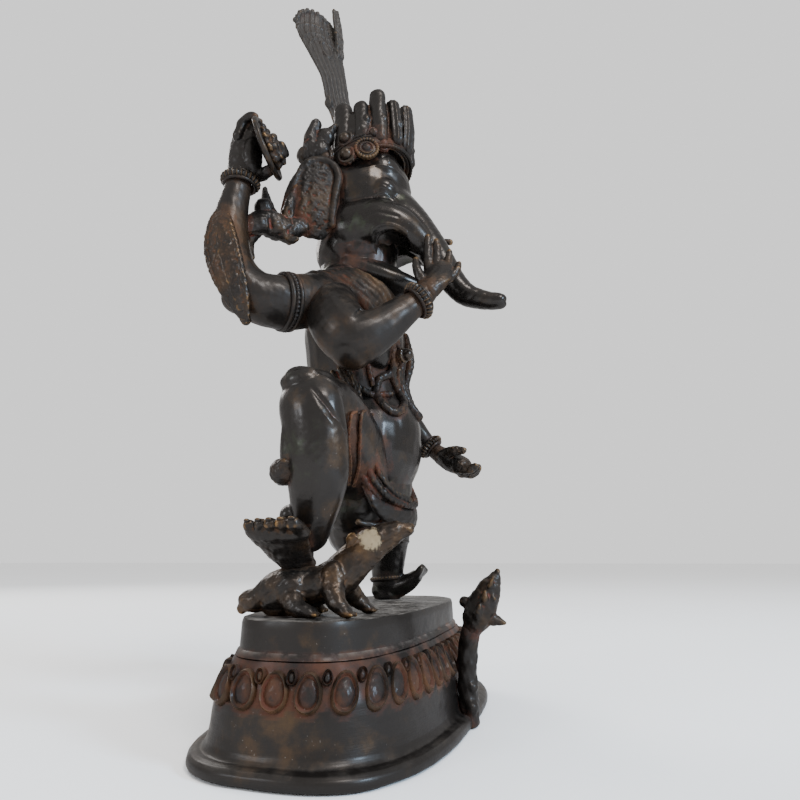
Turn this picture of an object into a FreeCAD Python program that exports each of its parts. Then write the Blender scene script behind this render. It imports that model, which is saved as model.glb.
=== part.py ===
"""Dancing elephant-headed figure on a rat, cast in brass, standing on a lotus pedestal.

Units are millimetres. +Z is up, the figure faces -Y, and its own right hand is on the -X side.
The origin is the centre of the pedestal's resting face. Every figure piece is laid out in figure
units measured from the top of the plinth, and scaled by FIGURE_HEIGHT, so the figure, the rat and
all they carry keep their fits when the height or the pedestal changes.
"""

import FreeCAD
import Part

import math
import os

V = FreeCAD.Vector

# ---- driving dimensions -------------------------------------------------------------------------
FIGURE_HEIGHT = 296.0  # plinth top to the tips of the crown leaves
DRAWN_HEIGHT = 296.0  # the height at which the figure's own coordinates are written
K = FIGURE_HEIGHT / DRAWN_HEIGHT

PLINTH_LENGTH = 176.0 * K  # the plinth is as long and deep as the dance needs
PLINTH_DEPTH = 68.0 * K
PLINTH_HEIGHT = 13.0
PLINTH_WALL = 2.8
PLINTH_TAPER = 0.8  # how much narrower the plinth is at its top, on each side
MOULDING_HEIGHT = 1.6
MOULDING_REACH = 1.0

PEDESTAL_TOP_Z = 37.0
PEDESTAL_WALL = 2.6
SKIRT_TOP_Z = 0.62 * PEDESTAL_TOP_Z
FLANGE_THICKNESS = 5.0
FLANGE_LENGTH = PLINTH_LENGTH + 24.0
FLANGE_DEPTH = PLINTH_DEPTH + 35.0
SQUARENESS = 3.0  # exponent of the superelliptic plan, 2 is an ellipse
SKIRT_INSET = 6.5  # flange edge to the foot of the skirt
SKIRT_FOOT_RISE = 2.5  # flange top to the foot of the skirt, along the hollow between them
PLINTH_TOP_Z = PEDESTAL_TOP_Z + PLINTH_HEIGHT

PETAL_COUNT = 38
PETAL_FILL = 0.76  # petal width as a share of the pitch
PETAL_MARGIN = 0.2  # petal tip to the edges of the shoulder, as a share of the shoulder's slope
PETAL_RELIEF = 3.0
PETAL_BULGE = 0.8  # how far the middle of a petal stands outside the straight shoulder
PETAL_OVERLAP = 3.5  # how far the petals reach down over the skirt
BREAK_ANGLE = 163.0  # where the wall has worn through, in degrees from the figure's left
BREAK_SIZE = 5.0  # half-length of the worn-through place
BREAK_DEPTH = 7.0  # how far the worn place is cut to each side of the wall

FINIAL_JOINT_Z = PEDESTAL_TOP_Z + 3.0  # where the bud stands on its stalk
FINIAL_SETBACK = 3.2  # flange edge to the middle of the stalk

TANG_RADIUS = 2.6
TANG_CLEARANCE = 0.05
RIVET_HEAD_RADIUS = TANG_RADIUS + 2.0
RIVET_HEAD_THICKNESS = 1.6
LUG_RADIUS = TANG_RADIUS + 2.4  # the round foot round the standing leg's tang
LUG_HEIGHT = 4.0

CROWN_CENTRE = (0.0, 3.0, 237.0)
CROWN_RADIUS = 25.5
CROWN_BAND_DROP = 3.0
CROWN_BAND_TOP = 6.0
CROWN_RISE = 0.38  # rise of the band towards the front, per unit of depth
CROWN_LEAN = 0.06  # backward lean of the crown, per unit of height
CROWN_LEAF_INSET = 2.5  # crown radius to the middle line of the leaves
CROWN_BOSS_REACH = 1.8  # crown radius to the middles of the bosses
MEDALLION_REACH = 4.0  # how far the medallions stand out from the crown radius
# Angle from the front, height above the band and radius of each leaf on the right half.
CROWN_LEAVES = ((36, 35.0, 4.8), (68, 39.0, 4.9), (92, 32.0, 4.2), (120, 37.0, 5.5))
FRONT_LEAF = (0, 34.0, 5.0)
# Angle, height above the band and radius of each boss on the right half.
CROWN_BOSSES = ((128, 3.0, 4.0), (105, 1.0, 4.2), (106, 11.5, 3.6), (80, 14.0, 3.2), (64, 8.0, 3.2))
MEDALLION = (84, 3.0, 6.6)

PLATE_CENTRE = (-61.0, 34.5, 220.0)
PLATE_AXIS = (0.0, -0.95, 0.3)
PLATE_RADIUS = 15.5
PLATE_THICKNESS = 3.0
PLATE_BACK_SHARE = 0.9  # radius of the plate's back as a share of its front
SWEET_RADIUS = 2.9
SWEET_SPACING = 1.8  # between the middles of neighbouring sweets, in sweet radii
BRACELET_SECTION = 2.4
ARMLET_SECTION = 2.6
ANKLET_SECTION = 1.9

RING_POINTS = 12  # points on each elliptic section


# ---- frame and small geometry helpers --------------------------------------------------------------
def at(x, y, z):
    """A point given in figure units from the middle of the plinth's top face."""
    return V(x * K, y * K, PLINTH_TOP_Z + z * K)


def closed_curve(points):
    """A smooth closed wire through the points."""
    curve = Part.BSplineCurve()
    curve.interpolate(points, PeriodicFlag=True)
    return Part.Wire([curve.toShape()])


def superellipse(half_x, half_y, z, count=32):
    """A rounded-rectangle wire, with its corners set by SQUARENESS."""
    points = []
    for i in range(count):
        t = 2 * math.pi * i / count
        c, s = math.cos(t), math.sin(t)
        x = half_x * math.copysign(abs(c) ** (2 / SQUARENESS), c)
        y = half_y * math.copysign(abs(s) ** (2 / SQUARENESS), s)
        points.append(V(x, y, z))
    return closed_curve(points)


def outline_point(half_x, half_y, angle):
    """A point of the superellipse, and its outward normal, in the direction of an angle."""
    c, s = math.cos(angle), math.sin(angle)
    radius = (abs(c / half_x) ** SQUARENESS + abs(s / half_y) ** SQUARENESS) ** (-1 / SQUARENESS)
    x, y = radius * c, radius * s
    normal = V(
        math.copysign(abs(x / half_x) ** (SQUARENESS - 1), x) / half_x,
        math.copysign(abs(y / half_y) ** (SQUARENESS - 1), y) / half_y,
        0,
    )
    return V(x, y, 0), normal.normalize()


def section(centre, direction, wide, thick, side):
    """An elliptic wire across a limb, wide along the side vector and thick across it."""
    n = V(direction).normalize()
    u = side - n * side.dot(n)
    u.normalize()
    v = n.cross(u)
    points = []
    for i in range(RING_POINTS):
        t = 2 * math.pi * i / RING_POINTS
        points.append(centre + u * (wide * math.cos(t)) + v * (thick * math.sin(t)))
    return closed_curve(points)


def limb(stations, side=V(1, 0, 0), round_start=True, round_end=True):
    """A smooth solid through elliptic sections.

    Each station is (x, y, z, wide, thick) in figure units. A rounded end gets two more sections
    that close it down to a small cap.
    """
    rows = [(at(x, y, z), wide * K, thick * K) for x, y, z, wide, thick in stations]
    first = (rows[0][0] - rows[1][0]).normalize()
    last = (rows[-1][0] - rows[-2][0]).normalize()
    if round_start:
        c, w, t = rows[0]
        near, far = c + first * (0.5 * t), c + first * (0.85 * t)
        rows = [(far, w * 0.4, t * 0.4), (near, w * 0.82, t * 0.82)] + rows
    if round_end:
        c, w, t = rows[-1]
        near, far = c + last * (0.5 * t), c + last * (0.85 * t)
        rows += [(near, w * 0.82, t * 0.82), (far, w * 0.4, t * 0.4)]
    wires = []
    for i, (c, w, t) in enumerate(rows):
        before = rows[max(i - 1, 0)][0]
        after = rows[min(i + 1, len(rows) - 1)][0]
        wires.append(section(c, after - before, w, t, side))
    return Part.makeLoft(wires, True, False)


def ellipsoid(x, y, z, rx, ry, rz, turn_x=0.0, turn_z=0.0):
    """An ellipsoid in figure units, tilted about X and then turned about Z, in degrees."""
    ball = Part.makeSphere(1.0)
    stretch = FreeCAD.Matrix()
    stretch.scale(V(rx * K, ry * K, rz * K))
    ball = ball.transformGeometry(stretch)
    ball.rotate(V(0, 0, 0), V(1, 0, 0), turn_x)
    ball.rotate(V(0, 0, 0), V(0, 0, 1), turn_z)
    ball.translate(at(x, y, z))
    return ball


def ball(x, y, z, radius):
    """A sphere in figure units."""
    return Part.makeSphere(radius * K, at(x, y, z))


def peg(start, end, radius):
    """A round pin between two points, with its radius in millimetres."""
    along = end - start
    return Part.makeCylinder(radius, along.Length, start, along)


def hoop(centre, axis, radius, thickness):
    """A round ring about an axis, its radius measured to the middle of the wire, in figure units."""
    return Part.makeTorus(radius * K, thickness * K, at(*centre), V(*axis))


def beads(path, radius):
    """A row of separate beads at the given figure points."""
    return Part.makeCompound([ball(x, y, z, radius) for x, y, z in path])


def biggest(shape):
    """The largest solid of a shape, which drops the chips that a cut may leave."""
    return max(shape.Solids, key=lambda s: s.Volume)


def seat(piece, *neighbours):
    """Cuts a piece back so that it meets its neighbours face to face."""
    solids = []
    for solid in piece.Solids:
        cut = solid
        for neighbour in neighbours:
            if cut.BoundBox.intersect(neighbour.BoundBox):
                cut = biggest(cut.cut(neighbour))
        solids.append(cut)
    return solids[0] if len(solids) == 1 else Part.makeCompound(solids)


def joined(*shapes):
    """One solid from overlapping solids."""
    whole = shapes[0].multiFuse(list(shapes[1:]))
    return biggest(whole)


# ---- pedestal -------------------------------------------------------------------------------------
def pedestal_stations(inset):
    """(z, half_x, half_y) of the pedestal's profile, drawn in by an inset for the hollow."""
    x0, y0 = FLANGE_LENGTH / 2, FLANGE_DEPTH / 2
    x1, y1 = x0 - SKIRT_INSET, y0 - SKIRT_INSET
    x3, y3 = PLINTH_LENGTH / 2 + MOULDING_REACH, PLINTH_DEPTH / 2 + MOULDING_REACH
    rise = PEDESTAL_TOP_Z - SKIRT_TOP_Z
    skirt = [
        (FLANGE_THICKNESS + SKIRT_FOOT_RISE, x1, y1),
        (SKIRT_TOP_Z, x1 - 1.2, y1 - 1.4),
        (SKIRT_TOP_Z + 0.45 * rise, x1 - 2.4, y1 - 4.0),
        (SKIRT_TOP_Z + 0.80 * rise, (x1 + x3) / 2 - 1.2, (y1 + y3) / 2 - 1.6),
        (PEDESTAL_TOP_Z, x3, y3),
    ]
    return [(z, x - inset, y - inset) for z, x, y in skirt]


def pedestal_shell():
    """The hollow lotus pedestal: flange, skirt and the shoulder that carries the petals."""
    stations = pedestal_stations(0.0)
    body = Part.makeLoft([superellipse(x, y, z) for z, x, y in stations], True, False)
    foot_z, foot_x, foot_y = stations[0]
    x0, y0 = FLANGE_LENGTH / 2, FLANGE_DEPTH / 2
    flange = Part.makeLoft(
        [
            superellipse(x0 - 1.0, y0 - 1.0, 0.0),
            superellipse(x0, y0, FLANGE_THICKNESS * 0.3),
            superellipse(x0 - 0.6, y0 - 0.6, FLANGE_THICKNESS * 0.8),
            superellipse(x0 - 3.4, y0 - 3.4, FLANGE_THICKNESS + 0.8),
            superellipse(foot_x, foot_y, foot_z),
        ],
        True,
        False,
    )
    inner = pedestal_stations(PEDESTAL_WALL)
    low_x, low_y = inner[0][1], inner[0][2]
    hollow_rows = [(-1.0, low_x, low_y)] + inner[:-1] + [(PEDESTAL_TOP_Z + 1.0, inner[-1][1], inner[-1][2])]
    hollow = Part.makeLoft([superellipse(x, y, z) for z, x, y in hollow_rows], True, False)
    shell = biggest(body.fuse(flange).cut(hollow))
    return biggest(shell.cut(worn_break()))


def worn_break():
    """The ragged place at the back of the right end where the wall has broken through."""
    x, y = FLANGE_LENGTH / 2 - SKIRT_INSET, FLANGE_DEPTH / 2 - SKIRT_INSET
    place, normal = outline_point(x, y, math.radians(BREAK_ANGLE))
    place.z = SKIRT_TOP_Z + 1.0
    across = V(-normal.y, normal.x, 0)
    up = V(0, 0, 1)
    wide = oriented_ellipsoid(place, (normal, BREAK_DEPTH), (across, BREAK_SIZE), (up, BREAK_SIZE * 0.5))
    side = place + across * (BREAK_SIZE * 0.5) + up * (BREAK_SIZE * 0.45)
    small = BREAK_SIZE * 0.5
    return wide.fuse(oriented_ellipsoid(side, (normal, BREAK_DEPTH), (across, small), (up, small * 1.1)))


def lotus_petals(shell):
    """A ring of oval petals on the shoulder of the pedestal, each one a separate boss."""
    low_z, low_x, low_y = pedestal_stations(0.0)[1]
    high_z, high_x, high_y = pedestal_stations(0.0)[-1]
    low_z -= PETAL_OVERLAP
    angles, pitch = petal_angles((low_x + high_x) / 2, (low_y + high_y) / 2)
    petals = []
    for angle in angles:
        low, normal = outline_point(low_x, low_y, angle)
        high = outline_point(high_x, high_y, angle)[0]
        low.z, high.z = low_z, high_z
        up = high - low
        half = up.Length * (0.5 - PETAL_MARGIN / 2)
        up.normalize()
        across = V(-normal.y, normal.x, 0)
        out = across.cross(up)
        middle = (low + high) / 2 + out * PETAL_BULGE
        half_width = pitch * PETAL_FILL / 2
        petals.append(oriented_ellipsoid(middle, (out, PETAL_RELIEF), (across, half_width), (up, half)))
    return seat(Part.makeCompound(petals), shell)


def oriented_ellipsoid(centre, *axes):
    """An ellipsoid with each (direction, radius) given, in millimetres."""
    (a, ra), (b, rb), (c, rc) = axes
    a, b, c = a * ra, b * rb, c * rc
    rows = [(a.x, b.x, c.x, centre.x), (a.y, b.y, c.y, centre.y), (a.z, b.z, c.z, centre.z), (0, 0, 0, 1)]
    matrix = FreeCAD.Matrix(*[value for row in rows for value in row])
    return Part.makeSphere(1.0).transformGeometry(matrix)


def petal_angles(half_x, half_y):
    """Angles that space the petals evenly round the outline, and their pitch."""
    samples = 720
    points = [outline_point(half_x, half_y, 2 * math.pi * i / samples)[0] for i in range(samples + 1)]
    lengths = [0.0]
    for a, b in zip(points, points[1:]):
        lengths.append(lengths[-1] + (b - a).Length)
    pitch = lengths[-1] / PETAL_COUNT
    angles, i = [], 0
    for n in range(PETAL_COUNT):
        goal = n * pitch
        while lengths[i] < goal:
            i += 1
        angles.append(2 * math.pi * i / samples)
    return angles, pitch


def plinth():
    """The upper platform, an open-bottomed tray turned upside down on the pedestal."""
    x, y = PLINTH_LENGTH / 2, PLINTH_DEPTH / 2
    low, high = PEDESTAL_TOP_Z, PLINTH_TOP_Z
    top_edge = superellipse(x - PLINTH_TAPER, y - PLINTH_TAPER, high)
    body = Part.makeLoft([superellipse(x, y, low), top_edge], True, True)
    lip = Part.makeLoft(
        [
            superellipse(x + MOULDING_REACH, y + MOULDING_REACH, low),
            superellipse(x + MOULDING_REACH, y + MOULDING_REACH, low + MOULDING_HEIGHT * 0.6),
            superellipse(x - 0.2, y - 0.2, low + MOULDING_HEIGHT),
        ],
        True,
        True,
    )
    hollow = Part.makeLoft(
        [
            superellipse(x - PLINTH_WALL, y - PLINTH_WALL, low - 1.0),
            superellipse(x - PLINTH_WALL, y - PLINTH_WALL, high - PLINTH_WALL),
        ],
        True,
        True,
    )
    tray = biggest(body.fuse(lip).cut(hollow))
    for x, y in tang_places():
        hole = peg(V(x, y, low), V(x, y, high + 1.0), TANG_RADIUS + TANG_CLEARANCE)
        tray = tray.cut(hole)
    return biggest(tray)


def tang_places():
    """Plan positions of the tangs through the plinth: the standing foot, then two rat feet."""
    return [(p.x, p.y) for p in (at(50, 5, 0), at(-69, -15, 0), at(-52, 7, 0))]


def deck():
    """A block whose top face lies in the plinth's top, to cut feet level with it."""
    reach = PLINTH_LENGTH
    return Part.makeBox(2 * reach, 2 * reach, PLINTH_TOP_Z, V(-reach, -reach, 0))


def tang(x, y):
    """A tang below one foot, through the plinth's top."""
    return peg(V(x, y, PLINTH_TOP_Z - PLINTH_WALL - RIVET_HEAD_THICKNESS), V(x, y, PLINTH_TOP_Z), TANG_RADIUS)


def tang_rivets():
    """The washers over which the tangs are hammered, on the underside of the plinth's top."""
    heads = []
    for x, y in tang_places():
        low = PLINTH_TOP_Z - PLINTH_WALL - RIVET_HEAD_THICKNESS
        head = Part.makeCylinder(RIVET_HEAD_RADIUS, RIVET_HEAD_THICKNESS, V(x, y, low))
        bore = Part.makeCylinder(TANG_RADIUS, RIVET_HEAD_THICKNESS, V(x, y, low))
        heads.append(head.cut(bore))
    return Part.makeCompound(heads)


def finial_stem(shell, top):
    """The stalk that grows from the flange up the front of the pedestal."""
    middle = -FLANGE_DEPTH / 2 + FINIAL_SETBACK
    rows = [
        (0.02 * FINIAL_JOINT_Z, middle - 0.6, 6.5, 3.6),
        (0.22 * FINIAL_JOINT_Z, middle + 0.2, 5.4, 4.4),
        (0.50 * FINIAL_JOINT_Z, middle, 4.8, 4.6),
        (0.75 * FINIAL_JOINT_Z, middle - 0.2, 4.8, 4.6),
        (FINIAL_JOINT_Z, middle - 2.6, 5.4, 4.4),
    ]
    wires = [section(V(0, y, z), V(0, 0, 1), wide, deep, V(1, 0, 0)) for z, y, wide, deep in rows]
    return seat(Part.makeLoft(wires, True, False), shell, top)


def finial_bud():
    """The flame-tipped bud on the stalk, with a lobe on each side."""
    middle = -FLANGE_DEPTH / 2 + FINIAL_SETBACK
    rows = [
        (0.0, -2.6, 5.4, 4.4),
        (4.0, -5.2, 8.0, 7.2),
        (11.0, -8.2, 8.6, 8.2),
        (18.0, -11.8, 6.4, 6.4),
        (23.0, -14.4, 3.4, 3.4),
        (27.5, -16.4, 1.0, 1.0),
    ]
    wires = []
    for rise, y, wide, deep in rows:
        wires.append(section(V(0, middle + y, FINIAL_JOINT_Z + rise), V(0, 0, 1), wide, deep, V(1, 0, 0)))
    bud = Part.makeLoft(wires, True, False)
    lobe = Part.makeSphere(3.2, V(0, middle, FINIAL_JOINT_Z + 12.0))
    barb = Part.makeCone(3.0, 0.6, 6.0, V(0, middle - 13.7, FINIAL_JOINT_Z + 6.0), V(0, -1, -0.25))
    return joined(bud, lobe, barb)


# ---- rat ------------------------------------------------------------------------------------------
def rat():
    """The rat that carries the raised foot, head up and tail over the back of the plinth."""
    trunk_of_rat = limb(
        [
            (-66, 28, 2.8, 2.2, 2.2),
            (-65.5, 23, 6.0, 3.6, 3.4),
            (-64.5, 16, 9.0, 6.5, 6.0),
            (-63, 8, 9.5, 8.0, 7.6),
            (-61, -2, 10.0, 7.6, 7.0),
            (-59, -9, 14.0, 7.0, 7.2),
            (-57.5, -15, 20.0, 5.6, 6.6),
            (-56, -22, 27.0, 6.0, 6.2),
            (-54.5, -30, 31.5, 4.2, 4.2),
            (-53, -37, 33.0, 2.2, 2.2),
        ]
    )
    legs = [
        limb([(-69, 6, 8, 4.4, 4.6), (-72, 3, 4, 3.2, 3.4), (-73, -3, 1.4, 2.8, 1.9)]),
        limb([(-57, 8, 8, 4.0, 4.4), (-53, 6, 4, 3.2, 3.2), (-52, 3, 1.4, 2.8, 1.9)]),
        limb([(-65, -9, 12, 3.8, 4.2), (-68, -12, 6, 2.6, 2.8), (-69, -16, 1.4, 2.6, 1.9)]),
        limb([(-54, -9, 12, 3.8, 4.2), (-47, -12, 6, 2.4, 2.6), (-45, -16, 1.4, 2.4, 1.9)]),
    ]
    ears = [ball(-61, -15.5, 28.5, 2.6), ball(-53, -15.5, 28.5, 2.6)]
    shape = joined(trunk_of_rat, *legs, *ears)
    shape = biggest(shape.cut(deck()))
    for x, y in tang_places()[1:]:
        root = peg(V(x, y, PLINTH_TOP_Z), V(x, y, PLINTH_TOP_Z + LUG_HEIGHT / 2), TANG_RADIUS)
        shape = shape.fuse(tang(x, y)).fuse(root)
    return biggest(shape)


# ---- legs -----------------------------------------------------------------------------------------
def standing_leg():
    """The left leg: thigh, shin and a foot turned up at the toes, with its tang."""
    leg = limb(
        [
            (22, 6, 62, 16, 16),
            (34, 4, 50, 14, 14),
            (43, 3, 38, 11.4, 12.2),
            (47, 4.6, 26, 9.4, 10.6),
            (50, 5.8, 14, 7.6, 8.8),
            (51, 6.6, 7, 7.0, 7.8),
            (51, 6, 3.2, 6.4, 7.6),
        ]
    )
    foot = limb(
        [
            (51, 11, 5, 6.4, 5.0),
            (52, 3, 5, 7.0, 5.2),
            (52, -5, 7, 7.6, 4.4),
            (52, -11, 12, 7.0, 3.4),
            (52, -15, 16, 5.8, 2.6),
        ]
    )
    x, y = tang_places()[0]
    lug = Part.makeCylinder(LUG_RADIUS, LUG_HEIGHT, V(x, y, PLINTH_TOP_Z))
    shape = joined(leg, foot, lug)
    shape = biggest(shape.cut(deck()))
    return biggest(shape.fuse(tang(x, y)))


def raised_leg(lower):
    """The right leg: thigh lifted out to the side and the shin hanging from a sharp knee."""
    thigh = limb(
        [(-6, 4, 62, 21, 22), (-26, 2, 74, 18, 19), (-50, 0, 87, 14, 14.5), (-68, 1, 85, 12, 11)],
        side=V(0, 1, 0),
    )
    shin = limb(
        [
            (-72, 1, 90, 11, 8),
            (-74, -1, 81, 13.5, 10.5),
            (-73, -2, 66, 13.5, 11.5),
            (-70, -2, 52, 12, 10.5),
            (-67, -1, 40, 9.5, 8.5),
            (-64, 2, 31, 7.6, 7.2),
        ],
        side=V(0, 1, 0),
    )
    knee = ellipsoid(-75, 5, 90, 7, 8.5, 6)
    return seat(joined(thigh, shin, knee), lower)


def raised_foot(shin, mount):
    """The right foot, heel down on the rat's back and toes fanned up and outward."""
    sole = limb(
        [
            (-59, 8, 20, 7.4, 5.4),
            (-66, 8.5, 24, 9.0, 6.6),
            (-74, 8.5, 28, 11.5, 5.4),
            (-81, 8, 31, 13.2, 4.0),
        ],
        side=V(0, 1, 0),
    )
    toes = []
    for i in range(5):
        y = -2.4 + i * 5.2
        length = 7.0 - 0.8 * i
        wide = 2.9 - 0.15 * i
        root, tip = (-82, y, 31, wide, wide * 0.9), (-82 - length, y, 34, wide * 0.9, wide * 0.8)
        toes.append(limb([root, tip], side=V(0, 1, 0)))
    return seat(joined(sole, *toes), shin, mount)


# ---- trunk of the body -----------------------------------------------------------------------------
def hips():
    """The hips and the tight cloth wrapped round them."""
    return limb(
        [(10, 6, 40, 25, 20), (9, 6, 50, 31, 25), (7, 7, 62, 34, 27.5), (6, 7, 72, 33, 27)],
        round_start=True,
        round_end=False,
    )


def torso(under):
    """Pot belly, chest and shoulders, narrowing to a thick neck."""
    belly = ellipsoid(4, 2, 79, 34, 28.5, 34)
    chest = limb(
        [
            (4, 7, 88, 30, 26),
            (3, 8.5, 108, 28, 25.5),
            (2, 8.5, 126, 31, 27),
            (1, 9.5, 142, 35, 26),
            (0, 12, 155, 36, 21),
            (0, 13, 165, 26, 18),
        ]
    )
    neck_rows = [(0, 11, 156, 20, 22), (0, 9, 172, 19, 22), (0, 7, 188, 19, 22)]
    neck = limb(neck_rows, round_start=False, round_end=False)
    return seat(joined(belly, chest, neck), under)


def head(body):
    """The elephant's head: domed skull, cheeks and the mouth's roof, cut open for the mouth."""
    skull = ellipsoid(0, 5, 222, 25, 27, 28)
    dome = ellipsoid(0, -7, 228, 18, 14, 16)
    cheeks = limb(
        [(0, 10, 196, 22, 22), (0, 2, 204, 23, 20), (0, -10, 208, 19, 15), (0, -20, 206, 14, 10)],
        round_start=True,
        round_end=True,
    )
    mouth = ellipsoid(0, -19, 189, 13, 19, 13, turn_x=32)
    shape = joined(skull, dome, cheeks).cut(mouth)
    return seat(biggest(shape), body)


def elephant_trunk(skull):
    """The trunk, falling in front of the mouth and curling forward at its tip."""
    shape = limb(
        [
            (0, -10, 216, 16, 13),
            (0, -20, 206, 12.5, 10.5),
            (0, -30, 193, 10.0, 9.0),
            (0, -39, 178, 8.4, 8.0),
            (0, -46, 165, 7.4, 7.0),
            (0, -53, 156, 6.4, 6.0),
            (0, -62, 151.5, 5.2, 4.8),
            (0, -71, 149.5, 4.2, 4.0),
        ]
    )
    return seat(shape, skull)


def lower_jaw(skull, body):
    """The dropped jaw, ending in a pointed lip."""
    shape = limb(
        [
            (0, 8, 184, 18, 9),
            (0, -4, 178, 15, 6.5),
            (0, -14, 172, 11, 5),
            (0, -22, 167, 7, 3.6),
            (0, -29, 164, 3.0, 2.4),
        ]
    )
    return seat(shape, skull, body)


def tusk(trunk_shape, skull):
    """The one whole tusk, on the left; the right one is broken off short, as is usual."""
    shape = limb([(10, -18, 198, 2.6, 2.6), (13, -32, 197, 2.4, 2.4), (15, -42, 196, 1.9, 1.9)])
    return seat(shape, trunk_shape, skull)


def ear(side_sign, skull, body):
    """One broad ear, a thick leaf standing out from the side of the head."""
    s = side_sign
    leaf = limb(
        [
            (s * 26, 18, 232, 7, 3.0),
            (s * 28.5, 19.5, 225, 12, 4.2),
            (s * 29.5, 20, 213, 14, 4.8),
            (s * 29, 20, 202, 13.5, 4.6),
            (s * 28.5, 20, 194, 11.5, 4.0),
            (s * 27.5, 20, 190, 7, 3.0),
        ],
        side=V(s * 0.6, 0.8, 0),
    )
    return seat(leaf, skull, body)


# ---- crown ----------------------------------------------------------------------------------------
def crown_place(angle, radius, height):
    """Figure coordinates on the crown: angle from the front towards the figure's left, in degrees."""
    a = math.radians(angle)
    x = radius * math.sin(a)
    y = -radius * math.cos(a)
    cx, cy, cz = CROWN_CENTRE
    return (cx + x, cy + y + height * CROWN_LEAN, cz - y * CROWN_RISE + height)


def both_sides(rows):
    """The rows of the right half, and the same rows mirrored to the left."""
    return [(-angle, height, radius) for angle, height, radius in rows] + list(rows)


def crown_band(skull):
    """The diadem band that grips the skull and carries the leaves."""
    axis = V(0, CROWN_RISE, 1).normalize()
    foot = at(*CROWN_CENTRE) - axis * (CROWN_BAND_DROP * K)
    height = (CROWN_BAND_DROP + CROWN_BAND_TOP) * K
    band = Part.makeCone((CROWN_RADIUS + 0.6) * K, (CROWN_RADIUS + 1.4) * K, height, foot, axis)
    return seat(band, skull)


def crown_leaves(band, skull):
    """The thick finger-like leaves of the crown, tallest over the temples."""
    leaves = []
    for angle, height, radius in [FRONT_LEAF] + both_sides(CROWN_LEAVES):
        low = crown_place(angle, CROWN_RADIUS - CROWN_LEAF_INSET, 3.0)
        mid = crown_place(angle, CROWN_RADIUS - CROWN_LEAF_INSET, height * 0.6)
        top = crown_place(angle, CROWN_RADIUS - CROWN_LEAF_INSET, height)
        rows = [(*low, radius, radius * 0.8), (*mid, radius * 1.05, radius * 0.85)]
        leaf = limb(rows + [(*top, radius * 0.85, radius * 0.7)])
        leaves.append(seat(leaf, band, skull, *leaves))
    return Part.makeCompound(leaves)


def crown_bosses(band, skull, leaves):
    """Round jewels over each temple, at the foot of the crown."""
    out = CROWN_RADIUS + CROWN_BOSS_REACH
    bosses = [ball(*crown_place(a, out, h), r) for a, h, r in both_sides(CROWN_BOSSES)]
    return seat(Part.makeCompound(bosses), band, skull, leaves)


def crown_medallions(band, skull, leaves, bosses):
    """A round medallion on the band at each temple."""
    discs = []
    for angle, height, radius in both_sides([MEDALLION]):
        inner = at(*crown_place(angle, CROWN_RADIUS - 1.0, height))
        outer = at(*crown_place(angle, CROWN_RADIUS + MEDALLION_REACH, height))
        discs.append(peg(inner, outer, radius * K))
    return seat(Part.makeCompound(discs), band, skull, leaves, bosses)


def crown_cap(band, leaves, skull):
    """The dressed hair inside the crown, closed over as a low dome."""
    return seat(ball(0, 6, 245, 21), band, leaves, skull)


def plume(cap, leaves, band):
    """The flat fan-topped crest behind the crown, its foot seated in the cap."""
    fan = limb(
        [
            (0, 15, 258, 6.0, 2.2),
            (0, 18, 274, 8.0, 2.0),
            (0, 23, 291, 9.0, 1.8),
            (0, 27, 312, 9.4, 1.8),
            (0, 33, 331, 13.5, 1.8),
            (0, 38, 347, 16.8, 1.8),
            (0, 40, 358, 15.5, 1.8),
            (0, 40.5, 364, 11.0, 1.6),
        ],
        side=V(-0.76, 0.64, 0),
    )
    strip_rows = [(7.5, 27, 340, 3.4, 1.8), (6.5, 28, 358, 3.4, 1.8), (5.0, 30, 372, 3.2, 1.5)]
    strip = limb(strip_rows, side=V(-0.76, 0.64, 0))
    return seat(joined(fan, strip), cap, leaves, band)


def side_ribbon(side_sign, ear_shape, band, skull, bosses):
    """The knotted ribbon that stands out behind each ear, under the crown."""
    s = side_sign
    knot_rows = [(s * 20, 20, 234, 5, 5), (s * 26, 26, 240, 6, 6), (s * 27, 27, 250, 5, 4.6)]
    knot = limb(knot_rows + [(s * 26, 25.5, 256, 4, 3.6)])
    bulge = ball(s * 27, 29, 239, 5.0)
    return seat(joined(knot, bulge), ear_shape, band, skull, bosses)


# ---- arms -----------------------------------------------------------------------------------------
def front_arm(side_sign, body):
    """A lower arm of the front pair, from the shoulder to the wrist."""
    if side_sign < 0:
        rows = [
            (-24, 12, 148, 13, 14),
            (-38, 6, 138, 13, 14),
            (-46, -2, 126, 12.5, 14),
            (-47, -10, 120, 11.5, 14),
            (-44, -19, 124, 9.5, 11),
            (-39, -29, 133, 7.4, 8),
            (-36, -36, 139, 5.8, 6.2),
            (-33, -40, 145, 5.2, 5.6),
        ]
    else:
        rows = [
            (24, 16, 146, 12, 13),
            (39, 12, 137, 11, 12),
            (51, 6, 122, 9.5, 10),
            (57, -1, 108, 8.5, 8.5),
            (60, -10, 96, 6.5, 6.5),
            (61, -17, 88, 5.2, 5.2),
            (61, -22, 83, 4.8, 4.8),
        ]
    return seat(limb(rows), body)


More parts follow.
